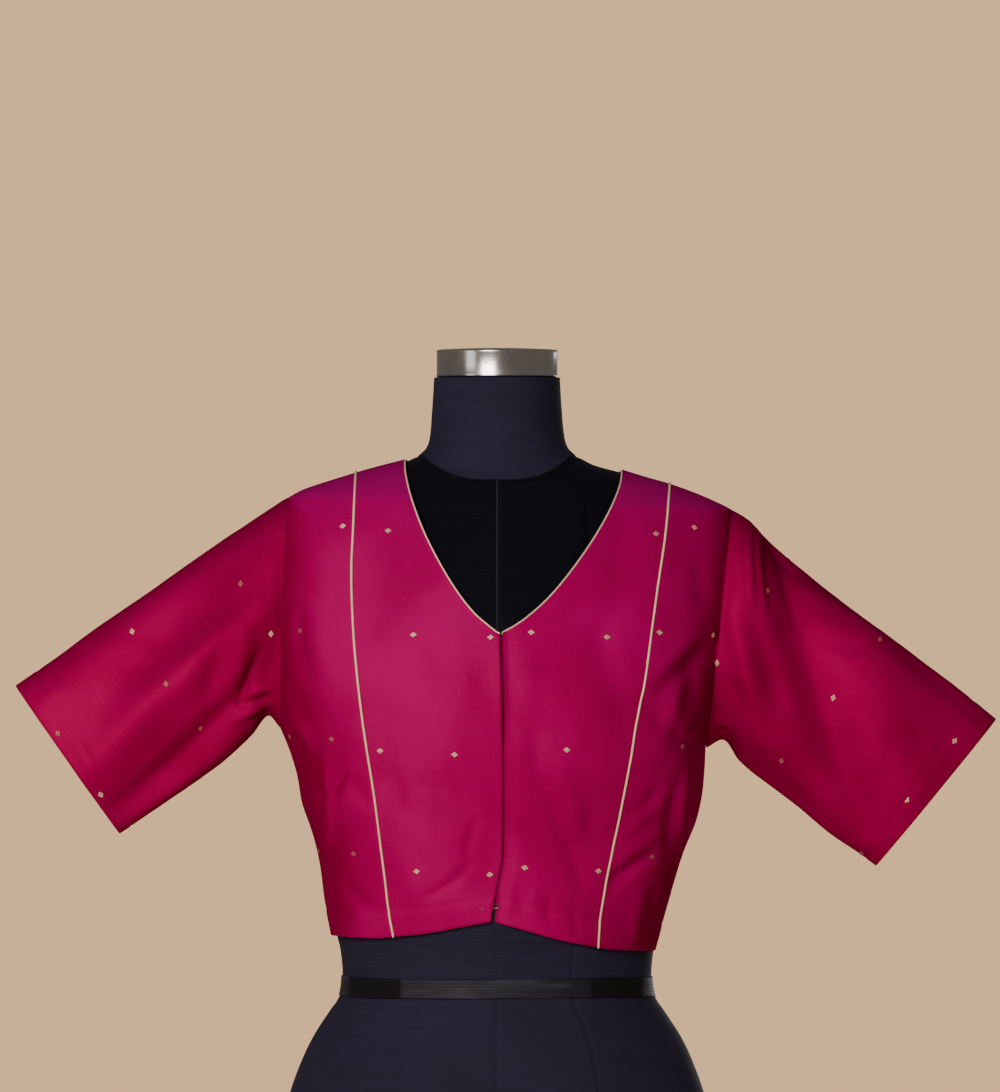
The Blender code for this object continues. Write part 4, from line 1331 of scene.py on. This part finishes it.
# Sleeves: wide elbow sleeves cut straight, eased into the armholes with a few gathers at the cap.
# They hold out stiffly in broad slanting folds, bunch under the arm, and end in a turned hem.
SLEEVE_COLUMNS = 168
SLEEVE_ROWS = 112
CUFF_STEPS = (1, 3, 5, 7, 8)
CAP_FADE = 5
SLEEVE_CREASES = {
    "left": {
        "front": creases(
            (-178, 308, -344, 140, 10, 18, 9.0), (-184, 262, -318, 120, -8, 13, -10.0),
            (-190, 362, -350, 196, 2, 21, -3.6), (-197, 205, -304, 113, -3, 5, 2.4),
            (-195, 270, -211, 210, 2, 5.5, -4.4), (-209, 286, -222, 218, -2, 7, 2.4),
            (-227, 272, -240, 214, 1, 8, -3.2), (-246, 262, -262, 212, 2, 9, 1.2),
            (-186, 221, -220, 199, 1, 3.2, 2.8), (-188, 227, -216, 213, -2, 2.8, -2.8),
            (-186, 233, -208, 221, 1, 2.4, 2.2), (-186, 214, -206, 203, 1, 2.2, -2.0),
            (-204, 388, -202, 318, 1, 3.5, -0.7), (-196, 372, -194, 296, 1, 3.5, -0.6),
            (-199, 384, -198, 330, 1, 2.5, 0.4), (-356, 230, -376, 192, 2, 9, 1.2),
            (-252, 206, -306, 148, 3, 10, -1.4), (-300, 294, -374, 240, -3, 8, -0.8),
            (-330, 176, -352, 160, 2, 10, -1.0),
        ),
        "back": creases(
            (-196, 328, -336, 158, 4, 24, 5.5), (-190, 262, -250, 186, 2, 13, -3.4),
            (-192, 262, -206, 212, 2, 5, -3.0), (-200, 262, -214, 212, 2, 5, 2.0),
            (-216, 292, -244, 206, 3, 9, -2.4), (-232, 322, -322, 196, -5, 14, -2.8),
            (-244, 250, -302, 150, 3, 9, 1.8), (-204, 384, -206, 322, 1, 4, -0.9),
            (-292, 290, -370, 220, -3, 10, 1.6), (-330, 240, -352, 184, 2, 9, -1.3),
        ),
    },
    "right": {
        "front": creases(
            (194, 384, 203, 312, 1, 3.0, -1.0), (188, 386, 193, 320, 1, 2.6, -0.9),
            (183, 386, 188, 322, 1, 2.4, -0.6), (203, 376, 216, 304, 1, 3.6, -0.9),
            (198, 384, 209, 306, 1, 2.4, 0.7), (191, 386, 198, 316, 1, 2.2, 0.8),
            (214, 364, 230, 308, 2, 4, 0.6), (222, 356, 238, 300, 2, 5, -0.8),
            (186, 420, 206, 270, 0, 17, 4.0), (210, 394, 304, 130, 7, 21, -11.0),
            (194, 326, 228, 226, 1, 10, -3.6), (178, 322, 216, 190, 0, 9, 3.4),
            (290, 344, 326, 134, -3, 28, 5.0), (176, 216, 290, 122, 2, 13, -3.4),
            (168, 262, 222, 204, -6, 10, -2.4), (254, 288, 302, 290, 3, 6, -0.9),
            (292, 302, 392, 232, -3, 9, -2.0), (226, 348, 296, 306, 2, 6, 1.0),
            (318, 226, 294, 136, -3, 10, -1.4), (206, 232, 286, 152, -3, 9, 1.2),
            (164, 228, 184, 219, 2, 3.0, 1.6), (166, 222, 186, 212, 1, 3.0, -1.5),
            (164, 236, 180, 230, 1, 2.6, -1.2), (352, 222, 334, 146, 2, 11, 1.2),
        ),
        "back": creases(
            (196, 336, 332, 158, -4, 24, 5.5), (188, 270, 250, 186, -2, 13, -3.4),
            (190, 384, 200, 320, 1, 3.2, -1.2), (197, 380, 208, 316, 1, 3.4, 1.1),
            (186, 386, 190, 328, 1, 2.8, -0.9), (180, 262, 200, 212, -2, 5, -2.8),
            (190, 270, 214, 210, -2, 6, 2.0), (206, 300, 240, 212, -3, 9, -2.4),
            (232, 312, 318, 170, 6, 14, -2.6), (262, 318, 348, 206, 4, 13, 1.8),
            (300, 292, 372, 222, 3, 10, -1.4), (330, 236, 310, 150, -2, 9, 1.4),
        ),
    },
}


def sleeve_section(side):
    """Reader of a sleeve's surface: at an angle round from the top crease, and at a reach."""
    read = smooth_columns(SLEEVES[side])
    sign = -1 if side == "left" else 1

    def point(angle, reach):
        turn = math.radians(angle)
        top = Vector((sign * read["top_x"](reach), 0, read["top_z"](reach)))
        under = Vector((sign * read["under_x"](reach), 0, read["under_z"](reach)))
        exponent = 2 / read["power"](reach)
        high = signed_power(math.cos(turn), exponent)
        face = "front" if math.sin(turn) >= 0 else "back"
        deep = signed_power(math.sin(turn), exponent) * read[face](reach)
        return (top + under) / 2 + (top - under) / 2 * high + Vector((0, -deep, 0))

    return point


sleeve_rows = {}
# The sleeves' silk is a darker copy, partly the shot colour of the silk's other grain and partly
# painted shade; its top colour is painted shade.
sleeve_silk_painted_darker = shot_silk("shot_silk_sleeves", (0.40, 0, 0.076), (0.23, 0, 0.032), (0.20, 0, 0.04), 0.42)
for side, name in (("left", "sleeve_right"), ("right", "sleeve_left")):
    surface = sleeve_section(side)
    way = 1 if side == "left" else -1
    start = 0.7 / 270

    def sleeve_place(column, row):
        share = (SLEEVE_ROWS - row) / SLEEVE_ROWS
        return surface(way * 360 * column / SLEEVE_COLUMNS, start + (1 - start) * share**1.06)

    def sleeve_relief(x, y, z, column, row):
        face = "front" if y < 0 else "back"
        rise = crease_rise(SLEEVE_CREASES[side][face], x, z) * ease(abs(y) / 13)
        rise += crumple(x, y, z)
        rise *= ease((SLEEVE_ROWS - row) / CAP_FADE)
        pucker = 0.25 * math.sin(column * 1.35) * math.sin(column * 0.31 + 1)
        rise += pucker * bell(SLEEVE_ROWS - row - 2.5, 2.2)
        return rise + hem_step(row)

    sleeve = Cloth(SLEEVE_COLUMNS, SLEEVE_ROWS, sleeve_place, closed=True)
    sleeve.press(sleeve_relief)
    sleeve.measure(0, upright=False)
    sleeve_rows[name] = [[(vert.co.copy(), sleeve.cut[vert]) for vert in line] for line in sleeve.rows]
    sleeve.turn_in(sleeve.rows[-1], sleeve.rows[-2], SEAM_STEPS)
    sleeve.turn_hem(sleeve.rows[0], sleeve.rows[1:], CUFF_STEPS)
    piece = sleeve.sew(
        "silk_" + name,
        sleeve_silk_painted_darker,
        SILK,
        HANG,
        outward=lambda point: Vector((0, point.y, 0)),
    )
    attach(piece, "root")
    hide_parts(name)


# Hook: the lowest of the placket's steel hooks, black and dull, sewn to the facing of the right
# front. Its bent wire shows at the opening edge, with a few of its stitches through the front.
HOOK_HEIGHT = 66.0
HOOK_WIDTH = 3.4
HOOK_LENGTH = 4.2
HOOK_INSET = 1.0
HOOK_WIRE = 0.38
HOOK_LIFT = 1.1
STITCH_PLACES = (
    (-9.9, 64.6, 15), (-9.2, 63.4, -20), (-8.4, 64.4, 35), (-7.9, 63.1, -5), (-8.9, 62.5, 20)
)
STITCH_HALF = 1.1
STITCH_THREAD = 0.24


def hook_wire():
    finish = Finish("hook_wire")
    wear = finish.cloud(object_place(finish), 0.0012, 2.0)
    colour = finish.dye(wear.between(0.4, 0.65), (0.05, 0.045, 0.05), (0.45, 0.38, 0.32))
    return finish.set({"Base Color": colour, "Metallic": 1.0, "Roughness": 0.28 + wear * 0.2})


def sewing_thread():
    finish = Finish("sewing_thread")
    twist = finish.cloud(object_place(finish), 0.0004, 1.0)
    colour = finish.dye(twist, (0.22, 0.02, 0.07), (0.42, 0.08, 0.18))
    return finish.set({"Base Color": colour, "Roughness": 0.7})


hook_path = []
for step in range(25):
    angle = math.pi * step / 24
    x = OPENING_EDGE(HOOK_HEIGHT) + HOOK_INSET + HOOK_LENGTH * math.sin(angle)
    height = HOOK_HEIGHT + HOOK_WIDTH / 2 * math.cos(angle)
    point = body_point(turn_of(x, height), height, "front", UNDERLAP_DROP)
    hook_path.append(point - Vector((0, HOOK_LIFT, 0)))
hook = cord_piece("steel_hook", hook_path, HOOK_WIRE, hook_wire(), sides=10, lump=0.0)
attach(hook, "root")
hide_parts("hook_lowest")

stitch_work = bmesh.new()
for x, height, slant in STITCH_PLACES:
    cloth = (spot[0] for line in centre_fronts["front_centre_right"] for spot in line)
    nearest = min(cloth, key=lambda point: math.hypot(point.x - x, point.z - height))
    place = Matrix.Translation((x, nearest.y - SILK / 2 - STITCH_THREAD / 2, height))
    place @= Matrix.Rotation(math.radians(slant), 4, "Y")
    place @= Matrix.Diagonal((STITCH_HALF, STITCH_THREAD, STITCH_THREAD, 1))
    bmesh.ops.create_uvsphere(stitch_work, u_segments=12, v_segments=8, radius=1, matrix=place)
bmesh.ops.transform(stitch_work, matrix=HANG, verts=stitch_work.verts)
hook_stitches = finished_piece("hook_stitches", stitch_work, sewing_thread())
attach(hook_stitches, "root")


# Woven motifs: small four-petalled flecks brocaded in gold thread, in rows that are set half a
# repeat aside from each other. They are woven in, so each panel's rows start where it was cut.
REPEAT_ACROSS = 62.0
PETAL_RADIUS = 1.12
PETAL_RING = 1.12
PETAL_HIGH = 0.22
MOTIF_STRETCH = 1.3
MotifRow = namedtuple("MotifRow", "up across")
MOTIF_ROWS = {
    "front_centre_right": [
        MotifRow(39, -7), MotifRow(136.5, 24), MotifRow(234, -7), MotifRow(347, 32)
    ],
    "front_centre_left": [
        MotifRow(47, 17), MotifRow(145, 50), MotifRow(243, 19), MotifRow(359, 51)
    ],
    "front_side_right": [
        MotifRow(67, -27), MotifRow(162, 31), MotifRow(251, 6), MotifRow(342, 54)
    ],
    "front_side_left": [
        MotifRow(77, 42), MotifRow(169, 54), MotifRow(263, 6), MotifRow(356, 24)
    ],
    "back": [
        MotifRow(42, 0), MotifRow(139.5, 31), MotifRow(237, 0), MotifRow(334.5, 31)
    ],
    "sleeve_right": [MotifRow(6, 61), MotifRow(103, 29), MotifRow(198, 60)],
    "sleeve_left": [MotifRow(15, -70), MotifRow(114, -9), MotifRow(212, -60)],
}
# Spots where painted shade darkens the flecks.
Spot = namedtuple("Spot", "x height")
PAINTED_SHADE_SPOTS = [
    Spot(-170, 278), Spot(-135, 193), Spot(-115, 102), Spot(126, 110), Spot(-220, 315),
    Spot(-277, 231), Spot(-359, 187), Spot(-241, 191), Spot(210, 328), Spot(302, 293),
    Spot(229, 193), Spot(147, 200), Spot(166, 201), Spot(151, 111), Spot(-172, 193),
    Spot(-144, 102), Spot(296, 120),
]
PAINTED_SHADE_REACH = 12.0


def brocade_gold():
    """Gold thread floats, crushed here and there; each fleck is dulled a little at random, and painted
    shade darkens the flecks at the listed spots.
    """
    finish = Finish("brocade_gold")
    crush = finish.cloud(object_place(finish), 0.0011, 2.0)
    dull_and_painted_shade = finish.add("ShaderNodeAttribute", {"attribute_name": "dull_and_painted_shade"}, output=2)
    colour = finish.dye(crush.between(0.4, 0.7), (1.0, 0.70, 0.48), (0.72, 0.34, 0.24))
    # The flecks are dulled towards crimson at random, and painted shade darkens them at the listed
    # spots.
    colour = finish.dye(dull_and_painted_shade, colour, (0.40, 0.07, 0.08))
    bump = finish.relief(crush, 0.00015, 0.8)
    return finish.set({
        "Base Color": colour,
        "Metallic": 0.2,
        "Roughness": 0.4,
        "Normal": bump,
    })


def woven_motif(work, centre, across, up, out):
    """One fleck: four low petals in a diamond, lying on the cloth."""
    turn = Matrix((across * MOTIF_STRETCH, up, out)).transposed().to_4x4()
    # A random dulling, raised almost fully to painted shade at the listed spots.
    dull_and_painted_shade = 0.35 + 0.3 * noise.noise(centre * 0.05)
    for spot in PAINTED_SHADE_SPOTS:
        if centre.y < 0 and math.hypot(centre.x - spot.x, centre.z - spot.height) < PAINTED_SHADE_REACH:
            dull_and_painted_shade = 0.95
    for petal in range(4):
        angle = math.radians(90 * petal)
        shift = (PETAL_RING * math.cos(angle), PETAL_RING * math.sin(angle), PETAL_HIGH * 0.6)
        made = bmesh.ops.create_cone(
            work,
            cap_ends=True,
            segments=10,
            radius1=PETAL_RADIUS,
            radius2=PETAL_RADIUS * 0.62,
            depth=PETAL_HIGH,
            matrix=Matrix.Translation(centre) @ turn @ Matrix.Translation(shift),
        )
        for vert in made["verts"]:
            vert[work.verts.layers.float["dull_and_painted_shade"]] = max(dull_and_painted_shade, 0.0)


def repeats_inside(cell, motif_rows):
    """Places of the motifs, in the cut, that fall inside one cell of the cloth."""
    low = [min(corner[1][axis] for corner in cell) for axis in (0, 1)]
    high = [max(corner[1][axis] for corner in cell) for axis in (0, 1)]
    for row in motif_rows:
        if low[1] <= row.up < high[1]:
            across = row.across + math.ceil((low[0] - row.across) / REPEAT_ACROSS) * REPEAT_ACROSS
            if across < high[0]:
                yield (across, row.up)


motif_gold = brocade_gold()
cloth_rows = {"back": back_rows, **sleeve_rows}
cloth_rows.update({name: rows for name, rows in centre_fronts.items() if isinstance(name, str)})
cloth_rows.update({name: rows for name, rows in side_fronts.items() if isinstance(name, str)})
for name, motif_rows in MOTIF_ROWS.items():
    work = bmesh.new()
    work.verts.layers.float.new("dull_and_painted_shade")
    rows = cloth_rows[name]
    placed = set()
    for row in range(2, len(rows) - 1):
        for column in range(1, len(rows[0]) - 2):
            corners = (rows[row][column], rows[row][column + 1], rows[row + 1][column])
            for spot in repeats_inside(corners, motif_rows):
                if spot in placed:
                    continue
                placed.add(spot)
                start = corners[0]
                right = corners[1][0] - start[0]
                above = corners[2][0] - start[0]
                share_across = (spot[0] - start[1][0]) / (corners[1][1][0] - start[1][0])
                share_up = (spot[1] - start[1][1]) / (corners[2][1][1] - start[1][1])
                out = right.cross(above).normalized()
                right_way = (above - right * above.dot(right) / right.dot(right)).normalized()
                centre = start[0] + right * share_across + above * share_up + out * SILK / 2
                woven_motif(work, centre, right.normalized(), right_way, out)
    bmesh.ops.transform(work, matrix=HANG, verts=work.verts)
    motifs = finished_piece("woven_motifs_" + name, work, motif_gold)
    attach(motifs, "root")


# Studio: a pale floor under an even tan surround, a broad soft light from the front, a little from
# the left and above, a weak one further to the left, and a low cool one behind for the back.
CAMERA_DISTANCE = 12.0
CAMERA_HEIGHT = 0.52
PHOTO_SCALE = 0.00081
PHOTO_WIDE, PHOTO_TALL = 1000, 1092
VIEW_CENTRE = Vector((0.0024, 0, 0.5456))


def plain_floor():
    """Pale floor that fades into the surround far behind the part."""
    finish = Finish("plain_floor")
    place = object_place(finish)
    reach = finish.add("ShaderNodeVectorMath", {"operation": "LENGTH"}, {0: place}, output=1)
    grain = finish.cloud(place, 0.02, 2.0)
    return finish.set({
        "Base Color": finish.dye(grain, (0.80, 0.61, 0.43), (0.82, 0.63, 0.45)),
        "Roughness": 0.8,
        "Alpha": 1.0 - reach.between(1.0, 3.0),
    })


floor_work = bmesh.new()
bmesh.ops.create_circle(floor_work, cap_ends=True, segments=96, radius=3.1)
floor = finished_piece("floor", floor_work, plain_floor())
floor.location.z = -0.0005


def soft_light(name, place, aim, size, power, colour):
    light = bpy.data.lights.new(name, "AREA")
    light.shape = "RECTANGLE"
    light.size, light.size_y = size
    light.energy = power
    light.color = colour
    lamp = bpy.data.objects.new(name, light)
    lamp.location = place
    lamp.rotation_euler = (Vector(aim) - Vector(place)).to_track_quat("-Z", "Y").to_euler()
    bpy.context.scene.collection.objects.link(lamp)


soft_light("front_light", (-0.85, -2.7, 1.25), (0, 0, 0.47), (1.2, 1.2), 68, (1.0, 0.98, 0.96))
soft_light("side_light", (-2.4, -1.9, 0.5), (0, 0, 0.45), (0.9, 1.2), 6, (1.0, 0.98, 0.97))
soft_light("back_light", (0.9, 2.6, 0.32), (0, 0, 0.4), (1.8, 0.5), 20, (0.97, 0.97, 1.0))

world = bpy.data.worlds.new("surround")
world.use_nodes = True
nodes, links = world.node_tree.nodes, world.node_tree.links
surround = nodes["Background"]
surround.inputs["Color"].default_value = (0.60, 0.55, 0.49, 1)
surround.inputs["Strength"].default_value = 0.28
seen = nodes.new("ShaderNodeBackground")
seen.inputs["Color"].default_value = (1.0, 0.615, 0.31, 1)
choice = nodes.new("ShaderNodeMixShader")
links.new(nodes.new("ShaderNodeLightPath").outputs["Is Camera Ray"], choice.inputs["Fac"])
links.new(surround.outputs["Background"], choice.inputs[1])
links.new(seen.outputs["Background"], choice.inputs[2])
links.new(choice.outputs["Shader"], nodes["World Output"].inputs["Surface"])
bpy.context.scene.world = world

camera_data = bpy.data.cameras.new("camera")
camera = bpy.data.objects.new("camera", camera_data)
bpy.context.scene.collection.objects.link(camera)
camera.location = (VIEW_CENTRE.x, -CAMERA_DISTANCE, CAMERA_HEIGHT)
camera.rotation_euler = (math.radians(90), 0, 0)
camera_data.lens = camera_data.sensor_width * CAMERA_DISTANCE / (PHOTO_TALL * PHOTO_SCALE)
camera_data.shift_y = (VIEW_CENTRE.z - CAMERA_HEIGHT) / (PHOTO_TALL * PHOTO_SCALE)
camera_data.clip_end = 60
bpy.context.scene.camera = camera

bpy.context.view_layer.update()
